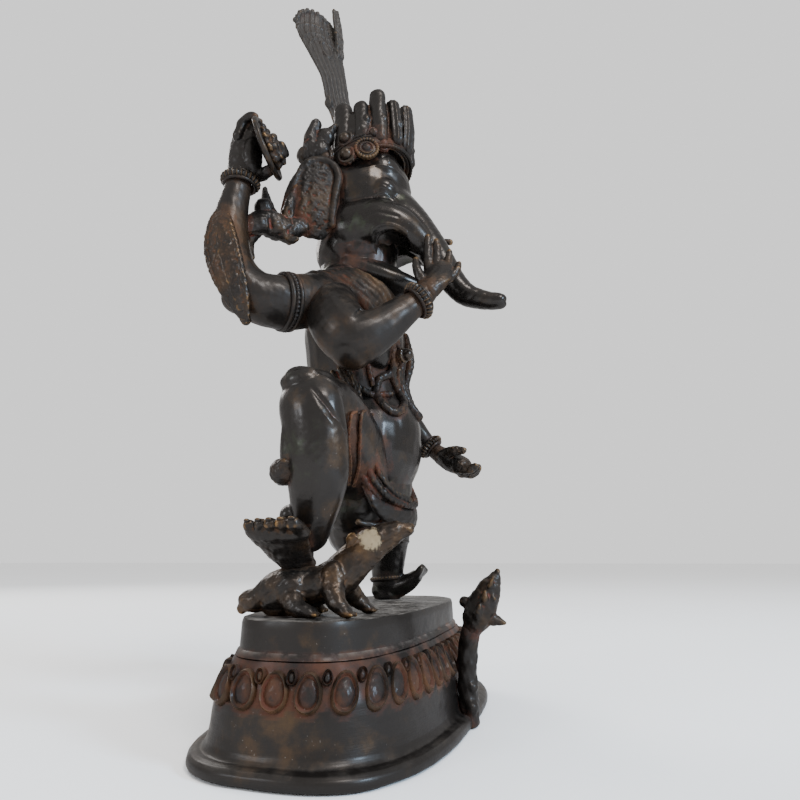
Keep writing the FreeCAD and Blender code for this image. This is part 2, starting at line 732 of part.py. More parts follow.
def front_hand_right(arm, trunk_shape):
    """The right front hand, raised beside the trunk with the fingers up."""
    palm = limb([(-33, -41, 146, 5.0, 6.4), (-28, -43.5, 153, 4.2, 8.0), (-24, -44, 160, 3.6, 7.6)])
    fingers = [
        limb([(-24, -39.5, 161, 2.4, 2.6), (-21.5, -38, 172, 2.2, 2.4), (-20.5, -38, 181, 1.6, 1.8)]),
        limb([(-23.5, -43.5, 162, 2.4, 2.6), (-21, -43, 171, 2.2, 2.3), (-20.5, -42.5, 178, 1.6, 1.8)]),
        limb([(-23.5, -47.5, 160, 2.2, 2.4), (-21, -48.5, 166, 2.0, 2.2), (-20.5, -49, 171, 1.6, 1.8)]),
        limb([(-25, -50.5, 155, 2.1, 2.3), (-23, -53, 159, 1.9, 2.1), (-22, -54, 163, 1.4, 1.6)]),
        limb([(-31, -38, 152, 2.6, 2.8), (-31, -35, 159, 2.2, 2.4), (-30, -34, 164, 1.7, 1.8)]),
    ]
    return seat(joined(palm, *fingers), arm, trunk_shape)


def front_hand_left(arm):
    """The left front hand, stretched out low with the palm open."""
    palm = limb([(61, -23, 82, 5.0, 4.4), (61, -30, 77, 7.5, 4.6), (61, -37, 73, 8.0, 4.2)])
    fingers = []
    for i in range(4):
        x = 54.5 + 4.3 * i
        rows = [(x, -38, 73 - 0.3 * i, 2.2, 2.4), (x, -44, 72.5, 2.1, 2.2)]
        fingers.append(limb(rows + [(x, -48 + 0.8 * abs(i - 1), 74, 1.5, 1.6)]))
    thumb = limb([(54, -27, 80, 2.4, 2.6), (51, -33, 81, 2.2, 2.4), (51, -39, 80, 1.7, 1.8)])
    return seat(joined(palm, *fingers, thumb), arm)


def rear_arm(side_sign, body, other_arm):
    """A raised arm of the rear pair: out and back to the elbow, then straight up."""
    s = side_sign
    rows = [
        (s * 24, 18, 152, 13, 14),
        (s * 38, 21, 146, 13, 14),
        (s * 50, 28, 141, 12.5, 13.5),
        (s * 58, 38, 143, 12, 12.5),
        (s * 62, 46, 153, 10.5, 11),
        (s * 62.5, 50, 168, 9.3, 9.8),
        (s * 62, 51, 184, 8.0, 8.4),
        (s * 61.5, 49, 200, 6.4, 6.8),
        (s * 61, 48, 208, 5.6, 6.2),
    ]
    return seat(limb(rows, side=V(0, 1, 0.3)), body, other_arm)


def rear_hand(side_sign, arm):
    """A raised hand, curled over to hold what it carries."""
    s = side_sign
    palm = limb([(s * 61, 48, 209, 5.6, 7.0), (s * 61, 47.5, 219, 5.4, 8.4), (s * 61, 46, 229, 5.0, 8.2)])
    fingers = []
    for i in range(4):
        x = s * (54.8 + 4.1 * i)
        fingers.append(limb([(x, 47, 230, 2.3, 2.6), (x, 43, 236.5, 2.2, 2.3), (x, 38.5, 236, 2.0, 2.0)]))
    thumb = limb([(s * 57, 42, 212, 2.8, 2.8), (s * 56, 36, 209, 2.4, 2.4), (s * 57, 31, 207, 1.9, 1.9)])
    return seat(joined(palm, *fingers, thumb), arm)


def sweets_plate(hand):
    """The thick round plate held upright in the raised right hand."""
    axis = V(*PLATE_AXIS).normalize()
    back = at(*PLATE_CENTRE) - axis * (PLATE_THICKNESS * K / 2)
    radius = PLATE_RADIUS * K
    plate = Part.makeCone(radius * PLATE_BACK_SHARE, radius, PLATE_THICKNESS * K, back, axis)
    return seat(plate, hand)


def plate_sweets(plate, hand):
    """The heap of round sweets on the plate, in two layers pressed together."""
    axis = V(*PLATE_AXIS).normalize()
    u = axis.cross(V(1, 0, 0)).normalize()
    w = axis.cross(u).normalize()
    radius = SWEET_RADIUS * K
    pitch = radius * SWEET_SPACING
    floor = at(*PLATE_CENTRE) + axis * (PLATE_THICKNESS * K / 2 + radius * 0.8)
    balls = [Part.makeSphere(radius, floor)]
    for i in range(6):
        t = math.pi * i / 3
        balls.append(Part.makeSphere(radius, floor + u * (pitch * math.cos(t)) + w * (pitch * math.sin(t))))
    for i in range(3):
        t = 2 * math.pi * i / 3 + math.pi / 6
        spot = u * (0.58 * pitch * math.cos(t)) + w * (0.58 * pitch * math.sin(t))
        balls.append(Part.makeSphere(radius, floor + spot + axis * (pitch * 0.8)))
    return seat(joined(*balls), plate, hand)


# ---- jewellery and dress ---------------------------------------------------------------------------
def armlets(arms):
    """A plain ring round each upper arm."""
    rings = [
        hoop((-48, 26.5, 142), (-0.78, 0.6, -0.15), 14.0, ARMLET_SECTION),
        hoop((48, 26.5, 142), (0.78, 0.6, -0.15), 14.0, ARMLET_SECTION),
        hoop((47, 8.5, 128), (0.5, -0.35, -0.75), 10.6, ARMLET_SECTION * 0.8),
    ]
    return seat(Part.makeCompound(rings), *arms)


def bracelets(arms):
    """A thick ring at each of the four wrists."""
    rings = [
        hoop((-61, 48, 204), (0.05, -0.05, 1.0), 6.8, BRACELET_SECTION),
        hoop((61, 48, 204), (-0.05, -0.05, 1.0), 6.8, BRACELET_SECTION),
        hoop((-35.5, -36.8, 139.8), (0.4, -0.68, 0.6), 6.8, BRACELET_SECTION),
        hoop((61, -17.5, 87.5), (0.1, -0.7, -0.7), 6.0, BRACELET_SECTION * 0.8),
    ]
    return seat(Part.makeCompound(rings), *arms)


def knee_boss(leg):
    """The round bell tied below the raised knee."""
    return seat(ball(-77, 8, 55, 5.6), leg)


def anklet(leg, foot):
    """The ring at the standing ankle."""
    return seat(hoop((50.5, 6.5, 11), (0, 0.1, 1), 7.8, ANKLET_SECTION), leg, foot)


def elbow_scarf(arm, ring):
    """The leaf-shaped fall of scarf over the raised right elbow, curling to a point below it."""
    shape = limb(
        [
            (-64, 56, 186, 2.4, 2.6),
            (-67, 54.5, 176, 6, 5),
            (-69, 51, 162, 8.5, 6.5),
            (-69, 46.5, 149, 8, 6.5),
            (-67, 42, 137, 5.5, 5),
            (-64, 38, 127, 2.6, 2.6),
        ],
        side=V(0, 1, 0),
    )
    return seat(shape, arm, ring)


def flame_ribbon(side_sign, arm, ear_shape, *scarves):
    """The fluttering ribbon between the ear and the raised arm, with three pointed ends."""
    s = side_sign
    stem_rows = [(s * 34, 28, 191, 5, 6), (s * 40, 34, 187, 6, 7), (s * 47, 41, 188, 6, 8)]
    stem = limb(stem_rows + [(s * 53, 47, 184, 4, 6)])
    tips = [
        limb([(s * 38, 34, 190, 4.5, 4), (s * 39, 32, 202, 3.6, 3.2), (s * 38, 30, 212, 1.6, 1.4)]),
        limb([(s * 43, 38, 191, 4.5, 4), (s * 45, 41, 202, 3.2, 3.0), (s * 44, 43, 211, 1.3, 1.2)]),
        limb([(s * 41, 35, 184, 4.0, 3.8), (s * 40, 30, 180, 2.8, 2.6), (s * 40, 26, 180, 1.2, 1.2)]),
    ]
    lump = ball(s * 47, 42, 196, 6.0)
    return seat(joined(stem, *tips, lump), arm, ear_shape, *scarves)


def shoulder_scarf(body, arms):
    """Folded bands of cloth from the right shoulder across the chest, laid side by side."""
    bands = []
    for i in range(3):
        shift = 7.5 * i
        bands.append(
            limb(
                [
                    (-20 + shift * 0.6, 30 - shift * 0.6, 166 + shift * 0.1, 4.2, 3.0),
                    (-28 + shift * 0.5, 18 - shift * 0.9, 163 + shift * 0.5, 4.4, 3.0),
                    (-27 + shift * 0.4, 4 - shift * 0.9, 154 + shift * 0.9, 4.4, 3.0),
                    (-22 + shift * 0.4, -9 - shift * 0.7, 143 + shift * 1.1, 4.2, 3.0),
                    (-14 + shift * 0.5, -17 - shift * 0.3, 131 + shift * 1.1, 3.6, 2.6),
                ],
                side=V(-0.3, 0.4, 0.8),
            )
        )
    cut = []
    for band in bands:
        cut.append(seat(band, body, *arms, *cut))
    return Part.makeCompound(cut)


def garland(body, scarf, arms):
    """The long garland that hangs from the neck to the top of the belly."""
    path = [
        (-18, -13, 142),
        (-14, -17.5, 126),
        (-10, -17.5, 110),
        (-4, -23, 97),
        (3, -23.5, 96),
        (9, -19, 108),
        (13, -17, 126),
        (17, -13, 142),
    ]
    strand = limb([(x, y, z, 3.4, 3.4) for x, y, z in path], side=V(0, 1, 0))
    return seat(strand, body, scarf, *arms)


def pendant(strand, body, scarf):
    """The jewel that stands out from the garland on the breast."""
    return seat(ball(-14, -21, 124, 3.6), strand, body, scarf)


def belly_cord(body, leg, lower):
    """The cord that runs down the right flank and under the belly."""
    path = [
        (-33, 2, 108),
        (-33, -3, 92),
        (-31, -6, 76),
        (-25, -12, 60),
        (-14, -19, 51),
        (0, -22, 48),
        (14, -20, 52),
        (26, -13, 62),
    ]
    cord = limb([(x, y, z, 2.4, 2.4) for x, y, z in path], side=V(0, 1, 0.2))
    return seat(cord, body, leg, lower)


def loincloth(lower, legs, body, cord):
    """The hem of the wrapped cloth, sweeping across both thighs, with a short hanging end."""
    hem = limb(
        [
            (-22, -9, 54, 3, 6),
            (-10, -17, 45, 3, 7),
            (6, -19, 41, 3, 7),
            (22, -16, 44, 3, 7),
            (36, -10, 50, 3, 6),
        ],
        side=V(0, 1, 0),
    )
    end = limb([(0, -12, 42, 5, 4), (-2, -12, 34, 4.5, 3.5), (-3, -11, 29, 2.4, 2.2)])
    return seat(joined(hem, end), lower, *legs, body, cord)


def build():
    """Every node of the statue, by name."""
    nodes = {}
    nodes["pedestal_shell"] = pedestal_shell()
    nodes["plinth"] = plinth()
    nodes["lotus_petals"] = lotus_petals(nodes["pedestal_shell"])
    nodes["tang_rivets"] = tang_rivets()
    nodes["finial_stem"] = finial_stem(nodes["pedestal_shell"], nodes["plinth"])
    nodes["finial_bud"] = finial_bud()
    nodes["rat"] = rat()
    nodes["hips"] = hips()
    nodes["standing_leg"] = seat(standing_leg(), nodes["hips"])
    nodes["raised_leg"] = raised_leg(nodes["hips"])
    nodes["raised_foot"] = raised_foot(nodes["raised_leg"], nodes["rat"])
    nodes["torso"] = torso(nodes["hips"])
    nodes["head"] = head(nodes["torso"])
    nodes["elephant_trunk"] = elephant_trunk(nodes["head"])
    nodes["lower_jaw"] = lower_jaw(nodes["head"], nodes["torso"])
    nodes["tusk"] = tusk(nodes["elephant_trunk"], nodes["head"])
    nodes["ear_right"] = ear(-1, nodes["head"], nodes["torso"])
    nodes["ear_left"] = ear(1, nodes["head"], nodes["torso"])
    nodes["crown_band"] = crown_band(nodes["head"])
    nodes["crown_leaves"] = crown_leaves(nodes["crown_band"], nodes["head"])
    nodes["crown_bosses"] = crown_bosses(nodes["crown_band"], nodes["head"], nodes["crown_leaves"])
    nodes["crown_medallions"] = crown_medallions(
        nodes["crown_band"], nodes["head"], nodes["crown_leaves"], nodes["crown_bosses"]
    )
    nodes["crown_cap"] = crown_cap(nodes["crown_band"], nodes["crown_leaves"], nodes["head"])
    nodes["plume"] = plume(nodes["crown_cap"], nodes["crown_leaves"], nodes["crown_band"])
    for name, sign in (("right", -1), ("left", 1)):
        ears = nodes[f"ear_{name}"]
        crown = (nodes["crown_band"], nodes["head"], nodes["crown_bosses"])
        nodes[f"side_ribbon_{name}"] = side_ribbon(sign, ears, *crown)
        nodes[f"front_arm_{name}"] = front_arm(sign, nodes["torso"])
        nodes[f"rear_arm_{name}"] = rear_arm(sign, nodes["torso"], nodes[f"front_arm_{name}"])
        nodes[f"rear_hand_{name}"] = rear_hand(sign, nodes[f"rear_arm_{name}"])
    arms = [nodes[f"{pair}_arm_{name}"] for pair in ("front", "rear") for name in ("right", "left")]
    nodes["front_hand_right"] = front_hand_right(nodes["front_arm_right"], nodes["elephant_trunk"])
    nodes["front_hand_left"] = front_hand_left(nodes["front_arm_left"])
    nodes["sweets_plate"] = sweets_plate(nodes["rear_hand_right"])
    nodes["plate_sweets"] = plate_sweets(nodes["sweets_plate"], nodes["rear_hand_right"])
    nodes["armlets"] = armlets(arms)
    hands = [nodes[n] for n in ("rear_hand_right", "rear_hand_left", "front_hand_right", "front_hand_left")]
    nodes["bracelets"] = bracelets(arms + hands)
    nodes["knee_boss"] = knee_boss(nodes["raised_leg"])
    nodes["anklet"] = anklet(nodes["standing_leg"], nodes["standing_leg"])
    nodes["elbow_scarf"] = elbow_scarf(nodes["rear_arm_right"], nodes["armlets"])
    scarf = nodes["elbow_scarf"]
    nodes["flame_ribbon_right"] = flame_ribbon(-1, nodes["rear_arm_right"], nodes["ear_right"], scarf)
    nodes["flame_ribbon_left"] = flame_ribbon(1, nodes["rear_arm_left"], nodes["ear_left"])
    nodes["shoulder_scarf"] = shoulder_scarf(nodes["torso"], arms)
    nodes["garland"] = garland(nodes["torso"], nodes["shoulder_scarf"], arms)
    nodes["pendant"] = pendant(nodes["garland"], nodes["torso"], nodes["shoulder_scarf"])
    nodes["belly_cord"] = belly_cord(nodes["torso"], nodes["raised_leg"], nodes["hips"])
    legs = [nodes["standing_leg"], nodes["raised_leg"]]
    nodes["loincloth"] = loincloth(nodes["hips"], legs, nodes["torso"], nodes["belly_cord"])
    return nodes


def main():
    """Writes one STEP file for each node."""
    os.makedirs("parts", exist_ok=True)
    for name, shape in build().items():
        shape.exportStep(f"parts/{name}.step")


main()
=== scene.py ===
import logging
import math
from collections.abc import Callable, Sequence
from dataclasses import dataclass, field
from enum import Enum

import bpy
import numpy as np
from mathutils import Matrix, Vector


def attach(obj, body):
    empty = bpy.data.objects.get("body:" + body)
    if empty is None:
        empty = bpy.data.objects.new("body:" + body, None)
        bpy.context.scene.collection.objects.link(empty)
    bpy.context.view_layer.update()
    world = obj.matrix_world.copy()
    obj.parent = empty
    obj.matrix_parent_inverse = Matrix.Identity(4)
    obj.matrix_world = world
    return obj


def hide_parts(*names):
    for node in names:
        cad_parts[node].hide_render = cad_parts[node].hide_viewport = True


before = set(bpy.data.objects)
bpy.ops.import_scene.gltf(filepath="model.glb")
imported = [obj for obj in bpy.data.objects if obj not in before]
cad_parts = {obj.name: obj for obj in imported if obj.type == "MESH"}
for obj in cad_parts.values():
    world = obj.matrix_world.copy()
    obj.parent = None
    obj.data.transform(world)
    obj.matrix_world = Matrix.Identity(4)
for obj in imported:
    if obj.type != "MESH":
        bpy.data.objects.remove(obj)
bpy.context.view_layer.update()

LOG = logging.getLogger("dancer")
MM = 0.001
PLINTH_TOP = 50.0
SEED = 11
FAR = 1e9  # farther than anything in the scene, in millimetres
WEAR_CELL = 1.6  # the grid that tells which pieces lie near each other
WEAR_LOW = (-125.0, -95.0, -10.0)
WEAR_CELLS = (160, 110, 290)
CURVE_STEPS = 36  # smoothing steps that tell hollows from ridges
CURVE_STRIDE = 12  # every so many steps the difference is taken
Point = tuple[float, float, float]
Station = tuple[float, float, float, float, float]
Relief = Callable[[np.ndarray, np.ndarray], np.ndarray]


# ---- mesh reading and writing ----
def deselect() -> None:
    """Clears the selection, so that an operator acts only on what is picked next."""
    bpy.ops.object.select_all(action="DESELECT")


def pick(piece: bpy.types.Object) -> None:
    """Makes one object the only selected and the active one."""
    deselect()
    piece.select_set(True)
    bpy.context.view_layer.objects.active = piece


def read_points(piece: bpy.types.Object) -> np.ndarray:
    """The vertex places of a mesh, one row each, in millimetres."""
    flat = np.zeros(len(piece.data.vertices) * 3, np.float32)
    piece.data.vertices.foreach_get("co", flat)
    return flat.reshape(-1, 3).astype(float) / MM


def write_points(piece: bpy.types.Object, points: np.ndarray) -> None:
    """Puts vertex places, given in millimetres, back into a mesh."""
    piece.data.vertices.foreach_set("co", (points * MM).astype(np.float32).ravel())
    piece.data.update()


def read_normals(piece: bpy.types.Object) -> np.ndarray:
    """The vertex normals of a mesh, one row each."""
    flat = np.zeros(len(piece.data.vertices) * 3, np.float32)
    piece.data.vertices.foreach_get("normal", flat)
    return flat.reshape(-1, 3).astype(float)


def figure(x: float, y: float, z: float) -> np.ndarray:
    """A place given from the middle of the plinth's top, in millimetres from the middle of the foot."""
    return np.array([x, y, z + PLINTH_TOP])


def apply_modifier(piece: bpy.types.Object, kind: str, **settings: object) -> None:
    """Adds a modifier with its settings and applies it.

    Args:
        piece: the object to change.
        kind: the modifier's type name.
        settings: values for the modifier's own properties.
    """
    pick(piece)
    modifier = piece.modifiers.new(kind.lower(), kind)
    for name, value in settings.items():
        setattr(modifier, name, value)
    bpy.ops.object.modifier_apply(modifier=modifier.name)


def join(lumps: Sequence[bpy.types.Object], name: str) -> bpy.types.Object:
    """Joins several objects into one mesh.

    Args:
        lumps: the objects, of which the first keeps its place in the file.
        name: the name of the result.

    Returns:
        The joined object.
    """
    deselect()
    for lump in lumps:
        lump.select_set(True)
    bpy.context.view_layer.objects.active = lumps[0]
    if len(lumps) > 1:
        bpy.ops.object.join()
    whole = bpy.context.view_layer.objects.active
    whole.name = name
    whole.data.name = name
    return whole


def smooth_faces(piece: bpy.types.Object, angle: float = 50.0) -> None:
    """Shades a mesh smooth, with edges sharper than the angle left crisp."""
    pick(piece)
    bpy.ops.object.shade_smooth_by_angle(angle=math.radians(angle))


def face_outward(piece: bpy.types.Object) -> None:
    """Turns the faces of a closed mesh to look outward.

    Args:
        piece: the mesh to change.
    """
    pick(piece)
    bpy.ops.object.mode_set(mode="EDIT")
    bpy.ops.mesh.select_all(action="SELECT")
    bpy.ops.mesh.remove_doubles(threshold=0.00002)
    bpy.ops.mesh.normals_make_consistent(inside=False)
    bpy.ops.object.mode_set(mode="OBJECT")


# ---- shapes drawn out of a primitive ----
def turn_matrix(tilt_x: float, tilt_y: float, turn_z: float) -> np.ndarray:
    """The rotation that tilts about X, then Y, then turns about Z, in degrees.

    Args:
        tilt_x: the tilt about X.
        tilt_y: the tilt about Y.
        turn_z: the turn about Z.

    Returns:
        A 3 by 3 matrix that turns a column vector.
    """
    a, b, c = (math.radians(v) for v in (tilt_x, tilt_y, turn_z))
    rx = np.array([[1, 0, 0], [0, math.cos(a), -math.sin(a)], [0, math.sin(a), math.cos(a)]])
    ry = np.array([[math.cos(b), 0, math.sin(b)], [0, 1, 0], [-math.sin(b), 0, math.cos(b)]])
    rz = np.array([[math.cos(c), -math.sin(c), 0], [math.sin(c), math.cos(c), 0], [0, 0, 1]])
    return rz @ ry @ rx


def new_ball(segments: int, rings: int) -> bpy.types.Object:
    """A unit ball with quads between poles, as a start for drawn-out shapes."""
    deselect()
    bpy.ops.mesh.primitive_uv_sphere_add(segments=segments, ring_count=rings, radius=1.0)
    return bpy.context.view_layer.objects.active


def blob(
    centre: Sequence[float], radii: Sequence[float], turn: Point = (0.0, 0.0, 0.0),
) -> bpy.types.Object:
    """An ellipsoid lump.

    Args:
        centre: its middle, from the plinth's top.
        radii: its three half sizes.
        turn: tilts about X and Y and the turn about Z, in degrees.

    Returns:
        The lump.
    """
    lump = new_ball(28, 16)
    unit = read_points(lump) * MM
    write_points(lump, (unit * np.array(radii)) @ turn_matrix(*turn).T + figure(*centre))
    return lump


def laid_on(base: bpy.types.Object, path: Sequence[Point], lift: float) -> list[Point]:
    """Moves a path's places to the nearest spots on a piece.

    Args:
        base: the piece to lie on.
        path: the places, in figure units.
        lift: the height above the surface, in millimetres.

    Returns:
        The moved places, in figure units.
    """
    laid = []
    for place in path:
        _, spot, normal, _ = base.closest_point_on_mesh(Vector(figure(*place) * MM))
        point = (np.array(spot) / MM) + np.array(normal) * lift
        laid.append((point[0], point[1], point[2] - PLINTH_TOP))
    return laid


def grain_bead(centre: Sequence[float], radius: float, detail: int = 2) -> bpy.types.Object:
    """A small round bead of few faces, placed from the plinth's top.

    Args:
        centre: its middle.
        radius: its radius.
        detail: how often its faces are split.

    Returns:
        The bead.
    """
    deselect()
    place = Vector(figure(*centre) * MM)
    bpy.ops.mesh.primitive_ico_sphere_add(subdivisions=detail, radius=radius * MM, location=place)
    bead = bpy.context.view_layer.objects.active
    bpy.ops.object.transform_apply(location=True, rotation=True, scale=True)
    return bead


def spline(rows: np.ndarray, count: int) -> np.ndarray:
    """A smooth run through control rows, evenly spaced along its length.

    Args:
        rows: one control row each, whose first three columns are the place.
        count: how many rows to return.

    Returns:
        The rows along the curve.
    """
    padded = np.vstack([2 * rows[0] - rows[1], rows, 2 * rows[-1] - rows[-2]])
    dense = []
    for i in range(len(rows) - 1):
        p0, p1, p2, p3 = padded[i : i + 4]
        for t in np.linspace(0, 1, 16, endpoint=False):
            dense.append(
                0.5 * (2 * p1 + (p2 - p0) * t + (2 * p0 - 5 * p1 + 4 * p2 - p3) * t**2)
                + 0.5 * (3 * p1 - p0 - 3 * p2 + p3) * t**3
            )
    dense.append(rows[-1])
    dense = np.array(dense)
    steps = np.linalg.norm(np.diff(dense[:, :3], axis=0), axis=1)
    along = np.concatenate([[0], np.cumsum(steps)])
    goal = np.linspace(0, along[-1], count)
    return np.column_stack([np.interp(goal, along, dense[:, k]) for k in range(dense.shape[1])])


def limb(
    stations: Sequence[Station],
    side: Point = (1.0, 0.0, 0.0),
    segments: int = 22,
    rings: int = 44,
    ripple: Relief | None = None,
) -> bpy.types.Object:
    """A round-ended limb through elliptic sections.

    Args:
        stations: (x, y, z, wide, thick) rows measured from the plinth's top.
        side: the direction along which a section is wide.
        segments: faces round the limb.
        rings: faces along it.
        ripple: gives a radius factor from the angle round the limb and the distance along it.

    Returns:
        The limb.
    """
    rows = np.array(stations, float)
    rows[:, 2] += PLINTH_TOP
    path = spline(rows, 120)
    tangent = np.gradient(path[:, :3], axis=0)
    tangent /= np.linalg.norm(tangent, axis=1)[:, None]
    lump = new_ball(segments, rings)
    unit = read_points(lump) * MM
    share = np.arccos(np.clip(unit[:, 2], -1, 1)) / math.pi
    around = np.arctan2(unit[:, 1], unit[:, 0])
    cap = 0.12
    place = np.clip((share - cap) / (1 - 2 * cap), 0, 1) * 119
    low = np.minimum(place.astype(int), 118)
    mix = (place - low)[:, None]
    row = path[low] * (1 - mix) + path[low + 1] * mix
    n = tangent[low] * (1 - mix) + tangent[low + 1] * mix
    n /= np.linalg.norm(n, axis=1)[:, None]
    u = np.array(side) - n * (n @ np.array(side))[:, None]
    u /= np.linalg.norm(u, axis=1)[:, None]
    v = np.cross(u, n)
    start, end = np.clip(share / cap, 0, 1), np.clip((1 - share) / cap, 0, 1)
    swell = np.sin(math.pi / 2 * np.minimum(start, end))
    reach = (np.cos(math.pi / 2 * end) - np.cos(math.pi / 2 * start)) * row[:, 4]
    if ripple is not None:
        length = np.sum(np.linalg.norm(np.diff(path[:, :3], axis=0), axis=1))
        swell = swell * ripple(around, place / 119 * length)
    points = row[:, :3] + n * reach[:, None]
    points += u * (np.cos(around) * row[:, 3] * swell)[:, None]
    points += v * (np.sin(around) * row[:, 4] * swell)[:, None]
    write_points(lump, points)
    return lump


def strand(path: Sequence[Point], radius: float, **more: object) -> bpy.types.Object:
    """An even round strand through places measured from the plinth's top."""
    return limb([(x, y, z, radius, radius) for x, y, z in path], **more)


def twist(lay: float, depth: float, threads: int = 3) -> Relief:
    """A ripple that makes a strand look laid up of twisted threads.

    Args:
        lay: length of one full turn, in millimetres.
        depth: depth of the grooves as a share of the radius.
        threads: how many threads.

    Returns:
        The ripple for limb().
    """
    def ripple(around: np.ndarray, along: np.ndarray) -> np.ndarray:
        """Ridges that wind round the strand once every lay."""
        return 1 - depth * np.abs(np.sin(threads / 2 * (around + 2 * math.pi * along / lay)))

    return ripple


def hoop(
    centre: Sequence[float],
    axis: Sequence[float],
    radius: float,
    wire: float,
    knobs: int = 0,
    tall: float = 1.0,
) -> bpy.types.Object:
    """A ring round an axis, plain or beaded.

    Args:
        centre: its middle, from the plinth's top.
        axis: the direction through the ring.
        radius: to the middle of the wire.
        wire: the wire's radius.
        knobs: how many beads the wire swells into, 0 for plain.
        tall: how much longer the section is along the axis than across it.

    Returns:
        The ring.
    """
    deselect()
    bpy.ops.mesh.primitive_torus_add(
        major_segments=max(64, knobs * 6), minor_segments=14, major_radius=1.0, minor_radius=0.25
    )
    ring = bpy.context.view_layer.objects.active
    unit = read_points(ring) * MM
    around = np.arctan2(unit[:, 1], unit[:, 0])
    across = np.arctan2(unit[:, 2], np.hypot(unit[:, 0], unit[:, 1]) - 1.0)
    swell = wire * (1 - (0.34 if knobs else 0.0) * np.abs(np.cos(knobs * around / 2)))
    n = np.array(axis, float) / np.linalg.norm(axis)
    u = np.cross(n, [0.0, 0.0, 1.0]) if abs(n[2]) < 0.9 else np.cross(n, [0.0, 1.0, 0.0])
    u /= np.linalg.norm(u)
    v = np.cross(n, u)
    out = u * np.cos(around)[:, None] + v * np.sin(around)[:, None]
    points = figure(*centre) + out * (radius + swell * np.cos(across))[:, None]
    write_points(ring, points + n * (tall * swell * np.sin(across))[:, None])
    return ring


# ---- soft modelling ----
@dataclass
class Clay:
    """Lumps that are pressed together and smoothed into one skin."""

    name: str
    grain: float = 0.7
    smoothing: int = 5
    lumps: list[bpy.types.Object] = field(default_factory=list)
    trim: list[bpy.types.Object] = field(default_factory=list)
    hollows: list[bpy.types.Object] = field(default_factory=list)

    def add(self, *lumps: bpy.types.Object) -> "Clay":
        """Takes in lumps that melt together."""
        self.lumps.extend(lumps)
        return self

    def keep(self, *lumps: bpy.types.Object) -> "Clay":
        """Takes in fine trim that stays crisp."""
        self.trim.extend(lumps)
        return self

    def dig(self, *lumps: bpy.types.Object) -> "Clay":
        """Takes in lumps that are cut away."""
        self.hollows.extend(lumps)
        return self

    def fire(self, *etchings: Relief) -> bpy.types.Object:
        """Melts the lumps into one skin, cuts the hollows and adds the fine work.

        Args:
            etchings: each gives a height along the normal from places and normals, in millimetres.

        Returns:
            The finished object.
        """
        body = join(self.lumps, self.name)
        apply_modifier(body, "REMESH", mode="VOXEL", voxel_size=self.grain * MM)
        if self.hollows:
            tool = join(self.hollows, "cutter")
            apply_modifier(tool, "REMESH", mode="VOXEL", voxel_size=self.grain * MM)
            apply_modifier(body, "BOOLEAN", operation="DIFFERENCE", object=tool, solver="EXACT")
            bpy.data.objects.remove(tool)
            apply_modifier(body, "REMESH", mode="VOXEL", voxel_size=self.grain * MM)
        if self.smoothing:
            apply_modifier(body, "SMOOTH", factor=0.5, iterations=self.smoothing)
        for etching in etchings:
            etch(body, etching)
        if self.trim:
            body = join([body, *self.trim], self.name)
        return body


def etch(piece: bpy.types.Object, height: Relief) -> None:
    """Raises or sinks a surface along its normals.

    Args:
        piece: the object to work on.
        height: gives millimetres along the normal from places and normals.
    """
    points, normals = read_points(piece), read_normals(piece)
    write_points(piece, points + normals * height(points, normals)[:, None])


def lumpy(points: np.ndarray, size: float, seed: int) -> np.ndarray:
    """Smooth random relief between about -1 and 1, from a few crossed waves.

    Args:
        points: places in millimetres.
        size: the length of a typical lump.
        seed: picks the pattern.

    Returns:
        One value for each place.
    """
    random = np.random.default_rng(seed)
    total = np.zeros(len(points))
    for scale in (1.0, 0.62, 0.4):
        for _ in range(4):
            direction = random.normal(size=3)
            direction /= np.linalg.norm(direction)
            wave = points @ direction * (2 * math.pi / (size * scale)) + random.uniform(0, 6.3)
            total += scale * np.sin(wave)
    return total / 4.0


def cast_skin(
    depth: float = 0.16, size: float = 7.0, seed: int = SEED,
) -> Relief:
    """The slightly uneven surface of a hand-finished casting."""
    return lambda points, normals: depth * lumpy(points, size, seed)


def groove_line(points: np.ndarray, path: Sequence[Point], width: float, depth: float) -> np.ndarray:
    """A groove along a line of places measured from the plinth's top.

    Args:
        points: the surface places.
        path: the line.
        width: the groove's half width.
        depth: how deep it is in the middle; negative for a ridge.

    Returns:
        The height at each place.
    """
    line = np.array(path, float) + np.array([0, 0, PLINTH_TOP])
    nearest = np.full(len(points), FAR)
    for a, b in zip(line[:-1], line[1:]):
        ab = b - a
        t = np.clip((points - a) @ ab / (ab @ ab), 0, 1)
        nearest = np.minimum(nearest, np.linalg.norm(points - (a + t[:, None] * ab), axis=1))
    return -depth * np.exp(-((nearest / width) ** 2))


def grooves(lines: Sequence[Sequence[Point]], width: float, depth: float) -> Relief:
    """Like grooves along several lines; a negative depth gives ridges."""
    return lambda points, normals: sum(groove_line(points, line, width, depth) for line in lines)


